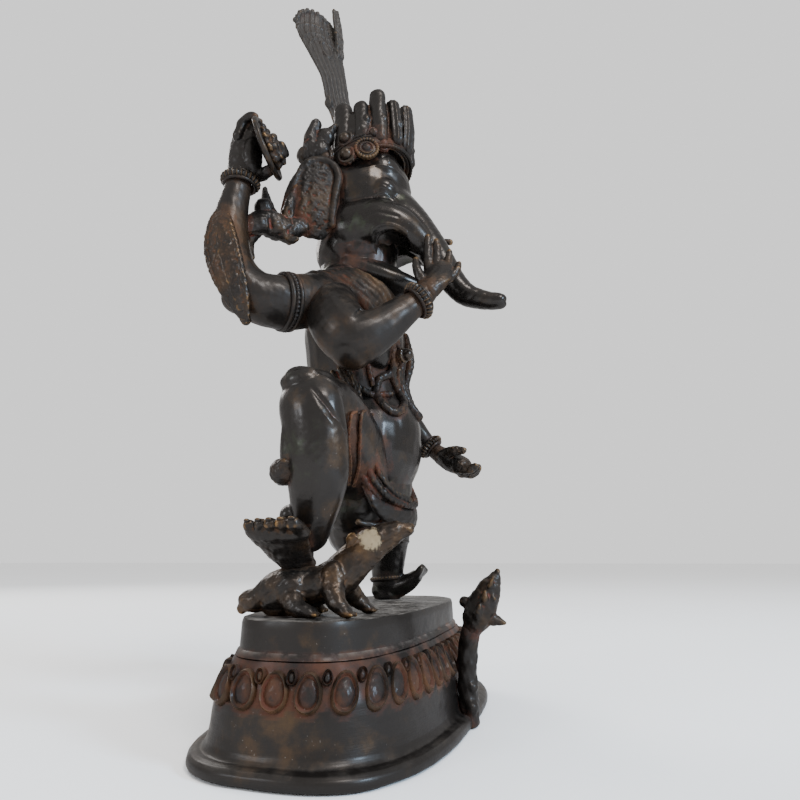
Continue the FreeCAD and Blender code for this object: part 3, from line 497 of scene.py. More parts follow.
def wear_marks(pieces: Sequence[bpy.types.Object]) -> None:
    """Stores on every piece how hollow or proud its surface is, and how near it is to other pieces.

    Args:
        pieces: the finished objects; each gets a point attribute called wear, with the hollow, the
            ridge and the nearness in its three channels.
    """
    counts = []
    everything = np.zeros(WEAR_CELLS, np.float32)
    for piece in pieces:
        index = ((read_points(piece) - np.array(WEAR_LOW)) / WEAR_CELL).astype(int)
        index = np.clip(index, 1, np.array(WEAR_CELLS) - 2)
        grid = np.zeros(WEAR_CELLS, np.float32)
        np.add.at(grid, tuple(index.T), 1.0)
        grid = np.minimum(grid, 1.0)
        everything += grid
        counts.append((index, grid))
    for piece, (index, grid) in zip(pieces, counts):
        others = everything - grid
        near = np.zeros(len(index), np.float32)
        for shift in np.ndindex(3, 3, 3):
            near += np.minimum(others[tuple((index + np.array(shift) - 1).T)], 1.0)
        hollow, ridge = curvature(piece)
        channels = np.column_stack([hollow, ridge, np.clip(near / 9.0, 0, 1), np.ones(len(near))])
        layer = piece.data.color_attributes.new("wear", "FLOAT_COLOR", "POINT")
        layer.data.foreach_set("color", channels.astype(np.float32).ravel())


def curvature(piece: bpy.types.Object) -> tuple[np.ndarray, np.ndarray]:
    """How far each vertex lies under or over the surface smoothed at a few scales.

    Args:
        piece: a mesh object.

    Returns:
        The hollow and the ridge at each vertex, each from 0 to 1.
    """
    points, normals = read_points(piece), read_normals(piece)
    edges = np.zeros(len(piece.data.edges) * 2, np.int32)
    piece.data.edges.foreach_get("vertices", edges)
    a, b = edges[0::2], edges[1::2]
    number = len(points)
    spacing = float(np.mean(np.sum((points[a] - points[b]) ** 2, axis=1)))
    degree = np.maximum(np.bincount(a, minlength=number) + np.bincount(b, minlength=number), 1)
    soft = points.copy()
    total = np.zeros(number)
    for step in range(1, CURVE_STEPS + 1):
        spread = np.empty_like(soft)
        for k in range(3):
            into_a = np.bincount(a, soft[b, k], number)
            spread[:, k] = (into_a + np.bincount(b, soft[a, k], number)) / degree
        soft = 0.4 * soft + 0.6 * spread
        if step % CURVE_STRIDE == 0:
            total += np.sum((soft - points) * normals, axis=1) / (0.3 * step * spacing) / 3
    return np.clip(total * 2.6 - 0.12, 0, 1), np.clip(-total * 2.2 - 0.25, 0, 1)


# ---- shader building ----
class Value:
    """A node socket that takes part in arithmetic; each operation adds a Math node."""

    def __init__(self, graph: "Graph", socket: bpy.types.NodeSocket) -> None:
        """Wraps a socket of a graph."""
        self.graph = graph
        self.socket = socket

    def _math(self, operation: str, first: "Value | float", second: "Value | float") -> "Value":
        """Adds one Math node."""
        return self.graph.node("ShaderNodeMath", {"operation": operation}, {0: first, 1: second})

    def __add__(self, other: "Value | float") -> "Value":
        """Sum."""
        return self._math("ADD", self, other)

    def __radd__(self, other: float) -> "Value":
        """Sum with a number first."""
        return self._math("ADD", other, self)

    def __sub__(self, other: "Value | float") -> "Value":
        """Difference."""
        return self._math("SUBTRACT", self, other)

    def __rsub__(self, other: float) -> "Value":
        """Difference from a number."""
        return self._math("SUBTRACT", other, self)

    def __mul__(self, other: "Value | float") -> "Value":
        """Product."""
        return self._math("MULTIPLY", self, other)

    def __rmul__(self, other: float) -> "Value":
        """Product with a number first."""
        return self._math("MULTIPLY", other, self)

    def __pow__(self, other: float) -> "Value":
        """Power."""
        return self._math("POWER", self, other)

    def largest(self, other: "Value | float") -> "Value":
        """The larger of two values."""
        return self._math("MAXIMUM", self, other)

    def ramp(self, low: float, high: float) -> "Value":
        """The value spread smoothly from 0 at low to 1 at high."""
        inputs = {0: self, 1: low, 2: high, 3: 0.0, 4: 1.0}
        return self.graph.node(
            "ShaderNodeMapRange", {"interpolation_type": "SMOOTHSTEP", "clamp": True}, inputs,
        )


class Graph:
    """The node tree of one material."""

    def __init__(self, name: str) -> None:
        """Starts an empty node tree.

        Args:
            name: the material's name.
        """
        self.material = bpy.data.materials.new(name)
        self.material.use_nodes = True
        self.tree = self.material.node_tree
        self.tree.nodes.clear()

    def node(
        self,
        kind: str,
        settings: dict[str, object] | None = None,
        inputs: dict[int | str, object] | None = None,
        output: int | str = 0,
    ) -> Value | None:
        """Adds a node of any type.

        Args:
            kind: the node's type name.
            settings: properties, set before anything else.
            inputs: values or wrapped sockets by input number or name.
            output: the output to return.

        Returns:
            The wrapped output, or nothing for a node that has none.
        """
        made = self.tree.nodes.new(kind)
        for name, value in (settings or {}).items():
            setattr(made, name, value)
        for key, value in (inputs or {}).items():
            if isinstance(value, Value):
                self.tree.links.new(value.socket, made.inputs[key])
            else:
                made.inputs[key].default_value = value
        return Value(self, made.outputs[output]) if made.outputs else None

    def mix(self, amount: Value | float, first: object, second: object) -> Value:
        """Blends two colours.

        Args:
            amount: 0 gives the first, 1 the second.
            first: a colour or a wrapped socket.
            second: a colour or a wrapped socket.

        Returns:
            The blended colour.
        """
        settings = {"data_type": "RGBA", "blend_type": "MIX", "clamp_factor": True}
        return self.node("ShaderNodeMix", settings, {0: amount, 6: first, 7: second}, output=2)

    def noise(self, place: Value, scale: float, detail: float = 4.0, rough: float = 0.55) -> Value:
        """Cloudy noise about 0.5 at a scale in cycles for each metre.

        Args:
            place: where it is read.
            scale: cycles for each metre.
            detail: how many finer layers it has.
            rough: how strong each finer layer is.

        Returns:
            The noise.
        """
        return self.node(
            "ShaderNodeTexNoise", {}, {
                "Vector": place, "Scale": scale, "Detail": detail, "Roughness": rough,
            }
        )


Colour = tuple[float, float, float, float]


@dataclass(frozen=True)
class AgedBrass:
    """Old cast brass: near-black patina, brown rubbed places, red powder in the hollows, dust, and painted
    shade that darkens deep hollows where a finish asks for it.
    """

    name: str
    patina: Colour = (0.017, 0.0145, 0.0130, 1.0)
    brown: Colour = (0.062, 0.036, 0.018, 1.0)
    rubbed: Colour = (0.30, 0.165, 0.06, 1.0)
    powder: Colour = (0.105, 0.020, 0.014, 1.0)
    dust: Colour = (0.15, 0.135, 0.12, 1.0)
    brown_share: float = 0.45
    rub: float = 0.5
    powder_share: float = 0.5
    dust_share: float = 0.12
    gloss: float = 0.36
    brushed: float = 0.0
    # share of painted shade: deep hollows are darkened to near-black to stand in for the shade inside them
    painted_hollow_shade: float = 0.0
    green_share: float = 0.0
    wax: float = 0.10
    crust: tuple[float, float, float] | None = None

    def make(self) -> bpy.types.Material:
        """Builds the material.

        Returns:
            The material, whose patterns lie on object coordinates and the wear attribute.
        """
        g = Graph(self.name)
        place = g.node("ShaderNodeTexCoord", output="Object")
        wear = g.node("ShaderNodeAttribute", {"attribute_name": "wear"}, output="Color")
        hollow = g.node("ShaderNodeSeparateColor", {}, {0: wear}, output=0)
        ridge = g.node("ShaderNodeSeparateColor", {}, {0: wear}, output=1)
        near = g.node("ShaderNodeSeparateColor", {}, {0: wear}, output=2)
        normal = g.node("ShaderNodeNewGeometry", output="Normal")
        up = g.node("ShaderNodeSeparateXYZ", {}, {0: normal}, output=2)
        broad = g.noise(place, 28.0, 5.0, 0.6)
        middle = g.noise(place, 110.0, 5.0, 0.65)
        fine = g.noise(place, 520.0, 4.0, 0.7)
        specks = g.noise(place, 900.0, 2.0, 0.5)

        recess = (hollow + 0.4 * near).ramp(0.08, 0.75)
        browned = (broad * 0.6 + middle * 0.4 + recess * 0.16).ramp(0.60 - 0.2 * self.brown_share, 0.74)
        colour = g.mix(browned * 0.85, self.patina, self.brown)
        rubbed = (ridge * 0.7 + broad * 0.6 + middle * 0.5 + fine * 0.2 - 0.62).ramp(0.22, 0.85) * self.rub
        colour = g.mix(rubbed * 0.7, colour, self.rubbed)
        scratch = (fine.ramp(0.68, 0.76) * middle.ramp(0.52, 0.64)) * (0.3 * self.rub)
        colour = g.mix(scratch, colour, self.rubbed)
        patches = (broad * 0.5 + middle * 0.3 + fine * 0.2).ramp(0.42, 0.62)
        red = recess * patches * self.powder_share
        colour = g.mix(red, colour, self.powder)
        greened = (1 - broad).ramp(0.50, 0.62) * middle.ramp(0.46, 0.62) * self.green_share
        colour = g.mix(greened, colour, (0.040, 0.052, 0.030, 1.0))
        # Painted shade: deep hollows darken to near-black, standing in for the shade inside the open mouth
        # and other deep hollows.
        colour = g.mix(hollow.ramp(0.15, 0.55) * self.painted_hollow_shade, colour, (0.003, 0.0026, 0.0024, 1.0))
        settled = (up.ramp(0.35, 0.95) * middle.ramp(0.36, 0.66)).largest(recess * fine.ramp(0.5, 0.7) * 0.6)
        dusty = settled * self.dust_share
        colour = g.mix(dusty, colour, self.dust)
        pale = specks.ramp(0.70, 0.76) * broad.ramp(0.52, 0.62) * 0.5
        colour = g.mix(pale, colour, self.dust)

        if self.crust is not None:
            away = g.node(
                "ShaderNodeVectorMath", {"operation": "DISTANCE"}, {0: place, 1: self.crust}, "Value",
            )
            crusted = 1 - (away * 130 + (middle - 0.5) * 1.1 + (fine - 0.5) * 0.9).ramp(0.42, 0.62)
            colour = g.mix(crusted, colour, (0.22, 0.17, 0.105, 1.0))
            dusty = dusty.largest(crusted)

        rough = (
            self.gloss + middle * 0.18 + (fine - 0.5) * 0.16 + recess * 0.28
            + dusty * 0.55 + red * 0.3 - rubbed * 0.05
        ).ramp(0.0, 1.0)
        metal = (0.72 + rubbed * 0.2) * (1 - red * 0.9) * (1 - dusty * 0.8)
        grain = fine * 0.35 + middle * 0.65 + specks * 0.15
        if self.brushed > 0:
            stretched = g.node("ShaderNodeMapping", {}, {"Vector": place, "Scale": (1.0, 1.0, 14.0)})
            lines = g.noise(stretched, 160.0, 3.0, 0.6)
            grain = grain + lines * self.brushed
            rough = rough + (lines - 0.5) * (0.2 * self.brushed)
        bump = g.node("ShaderNodeBump", {}, {"Strength": 0.35, "Distance": 0.0004, "Height": grain})
        shader = g.node(
            "ShaderNodeBsdfPrincipled",
            {},
            {
                "Base Color": colour, "Roughness": rough, "Metallic": metal, "Normal": bump,
                "Coat Roughness": 0.22,
            },
        )
        shader.socket.node.inputs["Coat Weight"].default_value = self.wax
        shader.socket.node.inputs["Specular Tint"].default_value = (0.42, 0.40, 0.38, 1.0)
        g.node("ShaderNodeOutputMaterial", {}, {"Surface": shader})
        return g.material


class Finish(Enum):
    """The finishes of the statue, each an aged brass of its own."""

    DARK = AgedBrass("dark_patina", brown_share=0.35, rub=0.35, powder_share=0.35)
    BELLY = AgedBrass(
        "handled_patina",
        brown=(0.050, 0.031, 0.016, 1.0),
        brown_share=0.35,
        rub=0.2,
        powder_share=0.5,
        gloss=0.27,
        wax=0.14,
        # painted shade that darkens the open mouth and the other deep hollows of these pieces
        painted_hollow_shade=0.9,
        green_share=0.35,
    )
    SATIN = AgedBrass(
        "satin_patina", brown_share=0.45, rub=0.3, powder_share=0.5, gloss=0.30, wax=0.16,
        green_share=0.3,
    )
    WORN = AgedBrass(
        "worn_patina", brown=(0.066, 0.036, 0.017, 1.0), brown_share=0.8, rub=0.75, powder_share=0.2,
    )
    PIGMENT = AgedBrass("powdered_patina", brown_share=0.55, rub=0.3, powder_share=1.0, gloss=0.42)
    POCKED = AgedBrass("pocked_patina", brown_share=0.75, rub=0.3, powder_share=0.7, gloss=0.46, wax=0.04)
    JEWEL = AgedBrass("jewel_patina", brown_share=0.4, rub=0.08, powder_share=1.0, gloss=0.34)
    RAT = AgedBrass(
        "crusted_patina",
        brown=(0.085, 0.046, 0.020, 1.0),
        brown_share=0.9,
        rub=0.9,
        powder_share=0.2,
        gloss=0.33,
        crust=(-0.061, -0.0225, 0.0785),
    )
    DUSTY = AgedBrass(
        "dusty_patina",
        patina=(0.034, 0.030, 0.027, 1.0),
        brown=(0.062, 0.050, 0.042, 1.0),
        dust=(0.17, 0.155, 0.14, 1.0),
        dust_share=0.55,
        powder_share=0.1,
        rub=0.2,
        gloss=0.52,
        wax=0.05,
    )
    SKIRT = AgedBrass(
        "brushed_patina", brown_share=0.45, rub=0.35, powder_share=0.7, gloss=0.36, brushed=0.45,
    )
    PETAL = AgedBrass("petal_patina", brown_share=0.3, rub=0.15, powder_share=0.5, gloss=0.40)
    DECK = AgedBrass(
        "deck_patina", brown_share=0.35, rub=0.3, powder_share=0.6, dust_share=0.8, gloss=0.4,
        brushed=0.3,
    )


@dataclass
class Workshop:
    """Collects finished pieces, and gives them their materials and ties them to the part."""

    materials: dict[Finish, bpy.types.Material] = field(default_factory=dict)
    pieces: list[bpy.types.Object] = field(default_factory=list)

    def finish(
        self, piece: bpy.types.Object, look: Finish, slot: str, stands_for: Sequence[str], crisp: float = 50.0
    ) -> bpy.types.Object:
        """Shades, dresses and registers a finished piece.

        Args:
            piece: the object.
            look: its finish.
            slot: meant as the name of the material slot; not used.
            stands_for: the plain pieces whose place it takes.
            crisp: edges sharper than this many degrees stay sharp.

        Returns:
            The same object.
        """
        write_points(piece, np.maximum(read_points(piece), [-FAR, -FAR, 0.0]))
        smooth_faces(piece, crisp)
        if look not in self.materials:
            self.materials[look] = look.value.make()
        piece.data.materials.clear()
        piece.data.materials.append(self.materials[look])
        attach(piece, "root")
        if stands_for:
            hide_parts(*stands_for)
        self.pieces.append(piece)
        LOG.info("%s: %d faces", piece.name, len(piece.data.polygons))
        return piece


# ---- pedestal ----
@dataclass
class Oval:
    """The rounded-rectangle plan that every level of the pedestal follows."""

    squareness: float = 3.0

    def at(self, half_x: float, half_y: float, angle: np.ndarray) -> np.ndarray:
        """Plan points of one level in the given directions."""
        c, s = np.cos(angle), np.sin(angle)
        n = self.squareness
        radius = (np.abs(c / half_x) ** n + np.abs(s / half_y) ** n) ** (-1 / n)
        return np.column_stack([radius * c, radius * s])

    def even_angles(self, half_x: float, half_y: float, count: int, start: float = 0.0) -> np.ndarray:
        """Directions whose points lie evenly along the outline."""
        dense = np.linspace(0, 2 * math.pi, 1441)
        plan = self.at(half_x, half_y, dense)
        along = np.concatenate([[0], np.cumsum(np.linalg.norm(np.diff(plan, axis=0), axis=1))])
        return np.interp((np.arange(count) + start) / count * along[-1], along, dense)


@dataclass
class Pedestal:
    """The hollow lotus pedestal, its petals, the plinth above and the finial in front."""

    shop: Workshop
    flange: tuple[float, float] = (99.9, 51.4)
    plinth_half: tuple[float, float] = (88.0, 34.0)
    wall: float = 2.6
    petal_count: int = 38
    oval: Oval = field(default_factory=Oval)

    def shell_rows(self) -> list[tuple[float, float, float]]:
        """Lists the outside of the shell, from the floor to the top edge.

        Returns:
            Half length, half depth and height of each level.
        """
        fx, fy = self.flange
        return [
            (fx - 1.2, fy - 1.2, 0.0), (fx - 0.2, fy - 0.2, 0.7), (fx, fy, 2.2),
            (fx - 0.3, fy - 0.3, 3.6), (fx - 1.4, fy - 1.4, 4.9), (fx - 3.2, fy - 3.2, 5.5),
            (fx - 4.6, fy - 4.6, 5.6), (fx - 5.4, fy - 5.4, 6.4), (fx - 6.2, fy - 6.2, 8.0),
            (fx - 6.9, fy - 7.0, 12.0), (fx - 7.3, fy - 7.4, 17.0), (fx - 7.6, fy - 7.8, 20.5),
            (fx - 8.0, fy - 8.6, 23.5), (fx - 8.7, fy - 10.2, 27.0), (fx - 9.6, fy - 12.4, 31.0),
            (fx - 10.6, fy - 14.8, 34.5), (fx - 11.2, fy - 16.4, 36.6),
        ]

    def lathe(
        self, rows: Sequence[tuple[float, float, float]], around: int, across: int,
    ) -> bpy.types.Object:
        """A closed ring of a wall drawn round the oval plan.

        Args:
            rows: half length, half depth and height round the wall's section, in order.
            around: faces round the pedestal.
            across: faces round the section.

        Returns:
            The wall.
        """
        deselect()
        bpy.ops.mesh.primitive_torus_add(
            major_segments=around, minor_segments=across, major_radius=1.0, minor_radius=0.25
        )
        ring = bpy.context.view_layer.objects.active
        unit = read_points(ring) * MM
        turn = np.arctan2(unit[:, 1], unit[:, 0]) % (2 * math.pi)
        loop = np.arctan2(unit[:, 2], np.hypot(unit[:, 0], unit[:, 1]) - 1.0) % (2 * math.pi)
        section = np.array([*rows, rows[0]], float)
        steps = np.linalg.norm(np.diff(section, axis=0), axis=1)
        along = np.concatenate([[0], np.cumsum(steps)])
        goal = loop / (2 * math.pi) * along[-1]
        half_x, half_y, height = (np.interp(goal, along, section[:, k]) for k in range(3))
        spread = np.concatenate([self.oval.even_angles(*self.flange, around), [2 * math.pi]])
        angle = np.interp(turn / (2 * math.pi) * around, np.arange(around + 1), spread)
        plan = self.oval.at(half_x, half_y, angle)
        write_points(ring, np.column_stack([plan, height]))
        face_outward(ring)
        return ring

    def build_shell(self) -> None:
        """The flange, skirt and shoulder, hollow underneath and broken through at the back right."""
        outside = self.shell_rows()
        inside = [(x - self.wall, y - self.wall, z) for x, y, z in outside[9:]]
        foot = [(outside[8][0] - self.wall, outside[8][1] - self.wall, 0.0)]
        shell = self.lathe(outside + inside[::-1] + foot, 300, 150)
        hole = [blob((-95.5, 20.0, -25.5), (9, 5.2, 2.6)), blob((-95.0, 23.0, -23.5), (9, 2.6, 3.2))]
        hole.append(blob((-96.0, 26.5, -27.0), (9, 0.9, 0.9)))
        tool = join(hole, "cutter")
        apply_modifier(tool, "REMESH", mode="VOXEL", voxel_size=0.5 * MM)
        apply_modifier(shell, "BOOLEAN", operation="DIFFERENCE", object=tool, solver="EXACT")
        bpy.data.objects.remove(tool)
        etch(shell, lambda points, normals: 0.22 * lumpy(points, 26.0, 3) + 0.05 * lumpy(points, 5.0, 4))
        shell.name = "pedestal_shell_skin"
        self.shop.finish(shell, Finish.SKIRT, "pedestal_brass", ["pedestal_shell"])

    def petal(
        self, place: np.ndarray, across: np.ndarray, up: np.ndarray, half: Sequence[float],
    ) -> bpy.types.Object:
        """One oval petal: a raised rim round a domed middle.

        Args:
            place: its middle on the shoulder.
            across: the direction along the shoulder.
            up: the direction up the slope.
            half: its half width and half height.

        Returns:
            The petal.
        """
        lump = new_ball(28, 26)
        unit = read_points(lump) * MM
        polar = np.arccos(np.clip(unit[:, 2], -1, 1)) / math.pi * 2
        turn = np.arctan2(unit[:, 1], unit[:, 0])
        front = np.clip(polar, 0, 1)
        reach = np.where(polar <= 1, front, 2 - polar)
        dome = 1.5 * np.sqrt(np.clip(1 - (reach / 0.66) ** 2, 0, 1))
        rim = 1.75 * np.exp(-(((reach - 0.84) / 0.11) ** 2))
        height = np.where(
            polar <= 1, np.maximum(dome, rim) + 0.15 - 1.6 * np.clip(reach - 0.93, 0, 1) / 0.07, -1.6,
        )
        narrow = 1 - 0.13 * np.sin(turn)
        x = reach * np.cos(turn) * half[0] * narrow
        y = reach * np.sin(turn) * half[1]
        out = np.cross(across, up)
        write_points(lump, place + x[:, None] * across + y[:, None] * up + height[:, None] * out)
        return lump

    def build_petals(self) -> None:
        """The ring of petals on the shoulder, with a small sepal between each pair."""
        rows = self.shell_rows()
        low, high = np.array(rows[11]), np.array(rows[15])
        angles = self.oval.even_angles(low[0], low[1], self.petal_count)
        random = np.random.default_rng(SEED)
        lumps = []
        for number, angle in enumerate(np.repeat(angles, 2)):
            between = number % 2 == 1
            if between:
                angle = angle + 0.5 * (np.roll(angles, -1)[number // 2] - angle) % math.pi
            foot, head = self.edge(low, angle), self.edge(high, angle)
            side = self.edge(low, angle + 0.01) - self.edge(low, angle - 0.01)
            side /= np.linalg.norm(side)
            up = head - foot
            length = np.linalg.norm(up)
            up /= length
            middle = (foot + head) / 2 + np.cross(side, up) * 0.35
            if between:
                lumps.append(self.petal(middle + up * (length * 0.33), side, up, (1.9, 2.9)))
                continue
            size = (5.25 + random.uniform(-0.2, 0.2), length / 2 + random.uniform(-0.2, 0.3))
            lumps.append(self.petal(middle, side, up, size))
        petals = join(lumps, "lotus_petal_ring")
        etch(petals, cast_skin(0.12, 3.0, 8))
        self.shop.finish(petals, Finish.PETAL, "pedestal_brass", ["lotus_petals"], 80.0)

    def edge(self, row: np.ndarray, angle: float) -> np.ndarray:
        """The point of one level in one direction."""
        plan = self.oval.at(row[0], row[1], np.array([angle]))[0]
        return np.array([plan[0], plan[1], row[2]])

    def build_plinth(self) -> None:
        """The plain platform with its narrow moulding, open underneath."""
        x, y = self.plinth_half
        wall = 2.8
        rows = [
            (x + 1.0, y + 1.0, 37.0), (x + 1.0, y + 1.0, 37.9), (x + 0.4, y + 0.4, 38.5),
            (x - 0.4, y - 0.4, 38.8), (x - 0.5, y - 0.5, 42.0), (x - 0.7, y - 0.7, 46.5),
            (x - 0.8, y - 0.8, 49.0), (x - 1.2, y - 1.2, 49.8), (x - 2.2, y - 2.2, 50.0),
            (x * 0.9, y * 0.86, 49.75), (x * 0.5, y * 0.5, 49.75), (0.01, 0.01, 49.75),
            (0.01, 0.01, 50.0 - wall), (x * 0.5, y * 0.5, 50.0 - wall),
            (x - wall - 0.8, y - wall - 0.8, 50.0 - wall), (x - wall, y - wall, 44.0),
            (x - wall, y - wall, 37.0),
        ]
        plinth = self.lathe(rows, 260, 120)
        etch(plinth, lambda points, normals: 0.14 * lumpy(points, 30.0, 5) + 0.05 * lumpy(points, 6.0, 6))
        plinth.name = "plinth_skin"
        self.shop.finish(plinth, Finish.DECK, "pedestal_brass", ["plinth"], 35.0)

    def build_finial(self) -> None:
        """The stalk up the front of the pedestal, and the flame-tipped bud that it carries."""
        stem = Clay("finial_stem_skin", 0.6, 4)
        stem.add(
            limb([(0, -50.5, -48.5, 6.0, 3.0), (0, -49.2, -41, 5.4, 4.4), (0, -48.6, -30, 4.6, 4.4)]),
            limb([(0, -48.6, -32, 4.6, 4.4), (0, -48.8, -22, 4.8, 4.6), (0, -50.6, -11, 5.4, 4.4)]),
            blob((3.4, -50.5, -43.5), (3.2, 3.0, 2.6)),
            blob((-3.6, -51.0, -42.0), (3.4, 3.0, 3.4)),
            blob((-2.5, -51.0, -34.0), (2.6, 2.6, 3.2)),
            blob((2.6, -50.5, -27.0), (2.4, 2.4, 3.4)),
        )
        skin = stem.fire(cast_skin(0.35, 6.0, 21))
        self.shop.finish(skin, Finish.PIGMENT, "pedestal_brass", ["finial_stem"])
        bud = Clay("finial_bud_skin", 0.5, 3)
        bud.add(
            limb([
                (0, -51, -10, 5.0, 4.4), (0, -53.5, -5, 7.0, 6.6), (0, -56.5, 1, 7.2, 7.0),
                (0, -60, 8, 5.4, 5.4),
            ]),
            limb([(0, -59, 6, 5.0, 5.0), (0, -62.2, 12, 3.4, 3.4), (0, -64.2, 16.2, 1.2, 1.2)]),
            blob((0, -48.6, 2.2), (3.4, 3.0, 2.6)),
            limb([(0, -60, -5, 3.4, 3.2), (0, -64, -6, 2.0, 2.0), (0, -66.5, -6.5, 0.9, 0.9)]),
        )
        for side in (-1, 1):
            for height, reach, size in ((-3, 6.6, 2.8), (3, 6.2, 2.6), (9, 4.4, 2.0)):
                bud.add(
                    limb(
                        [
                            (side * 2, -56 - height * 0.4, height - 2, size, size),
                            (side * reach, -57 - height * 0.45, height + 1, size, size * 0.8),
                            (side * (reach + 1.2), -58 - height * 0.5, height + 4.2, 0.9, 0.9),
                        ]
                    )
                )
            bud.add(
                blob((side * 4.0, -62, 4.5), (1.8, 1.8, 1.8)),
                blob((side * 2.4, -63.5, 10), (1.4, 1.4, 1.4)),
            )
        skin = bud.fire(cast_skin(0.25, 4.0, 22))
        self.shop.finish(skin, Finish.PIGMENT, "pedestal_brass", ["finial_bud"])

    def build(self) -> None:
        """Builds every piece of the pedestal."""
        self.build_shell()
        self.build_petals()
        self.build_plinth()
        self.build_finial()


# ---- figure ----
class Side(Enum):
    """The figure's own right and left, as signs along X."""

    RIGHT = -1
    LEFT = 1

    def place(self, rows: Sequence[Sequence[float]]) -> list[tuple[float, ...]]:
        """Rows written for the left side, put on this side."""
        return [(self.value * row[0], *row[1:]) for row in rows]

    def spot(self, x: float, y: float, z: float) -> Point:
        """One place written for the left side, put on this side."""
        return (self.value * x, y, z)


def side_line(
    points: np.ndarray, path: Sequence[tuple[float, float]], width: float, depth: float, reach: float = 4.0
) -> np.ndarray:
    """A groove drawn on both flanks from a line given by depth and height.

    Args:
        points: the surface places.
        path: (y, z) along the line, z from the plinth's top.
        width: the groove's half width.
        depth: how deep it is; negative for a ridge.
        reach: how far from the middle plane the line starts to show.

    Returns:
        The height at each place.
    """
    flat = points * np.array([0, 1, 1])
    line = groove_line(flat, [(0, y, z) for y, z in path], width, depth)
    return line * np.clip((np.abs(points[:, 0]) - reach) / 3, 0, 1)


def pits(depth: float, size: float, seed: int) -> Relief:
    """A surface pocked with small hollows."""
    return lambda points, normals: -depth * np.clip(lumpy(points, size, seed) * 1.6 - 0.25, 0, 1)


@dataclass
class Rat:
    """The rat under the raised foot."""

    shop: Workshop

    def build(self) -> None:
        """Body, haunches, head and thick tail in one casting, with eyes and claws."""
        rat = Clay("rat_skin", 0.55, 4)
        spine = [
            (-66.5, 29, 2.6, 2.4, 2.4), (-66, 23.5, 6, 4.0, 3.8), (-64.5, 16, 9.8, 7.4, 6.6),
            (-63, 8, 11, 8.8, 8.2), (-61, -2, 11.4, 8.2, 7.6), (-59, -9, 14.6, 7.8, 8.0),
            (-57.5, -15, 20.5, 6.4, 7.6), (-56, -22, 27, 6.6, 6.9), (-54.5, -30, 31.4, 4.8, 5.0),
            (-53, -36.2, 33, 2.9, 2.9),
        ]
        rat.add(limb(spine, rings=70))
        rat.add(
            blob((-68.2, 8, 10), (5.2, 8, 7.4), (-20, 0, 0)),
            blob((-57, 9, 10), (5.2, 7.4, 7), (-20, 0, 0)),
        )
        rat.add(blob((-63, 13, 6.5), (8.4, 10.5, 8.4)), blob((-66.6, 24, 5.4), (4.4, 6.5, 4.6)))
        rat.add(blob((-65, -9, 14), (4.2, 5.2, 7.0)), blob((-54, -9, 14), (4.2, 5.2, 7.0)))
        for knee, ankle, toe in (
            ((-69, 6, 8), (-72, 3, 4), (-73, -4, 1.8)), ((-57, 8, 8), (-53, 6, 4), (-52, 2, 1.8)),
            ((-65, -9, 12), (-68, -12, 6), (-69, -17, 1.8)),
            ((-54, -9, 12), (-47, -12, 6), (-45, -17, 1.8)),
        ):
            rat.add(limb([(*knee, 4.6, 5.0), (*ankle, 3.6, 3.9), (*toe, 3.2, 2.2)]))
            for shift in (-1.6, 0.0, 1.6):
                start = (toe[0] + shift, toe[1] + 1.5, 1.6)
                tip = (toe[0] + shift * 1.3, toe[1] - 2.6, 1.1)
                rat.add(strand([start, tip], 0.9, segments=10, rings=12))
        for side in (-1, 1):
            x = -57.0 + side * 4.2
            rat.add(blob((x, -15.6, 28.8), (1.3, 2.8, 3.0), (20, 0, 0)))
            rat.keep(grain_bead((-55.2 + side * 4.3, -27.0, 31.2), 1.0))
        rat.add(blob((-53, -36.8, 33.6), (1.7, 1.2, 1.2)))
        skin = rat.fire(
            lambda points, normals: side_line(points, [(-37, 31.6), (-31, 29.6), (-28, 28.2)], 0.5, 0.45),
            lambda points, normals: 0.25 * lumpy(points, 4.5, 31) + 0.10 * lumpy(points, 1.8, 32),
        )
        self.shop.finish(skin, Finish.RAT, "worn_brass", ["rat"])


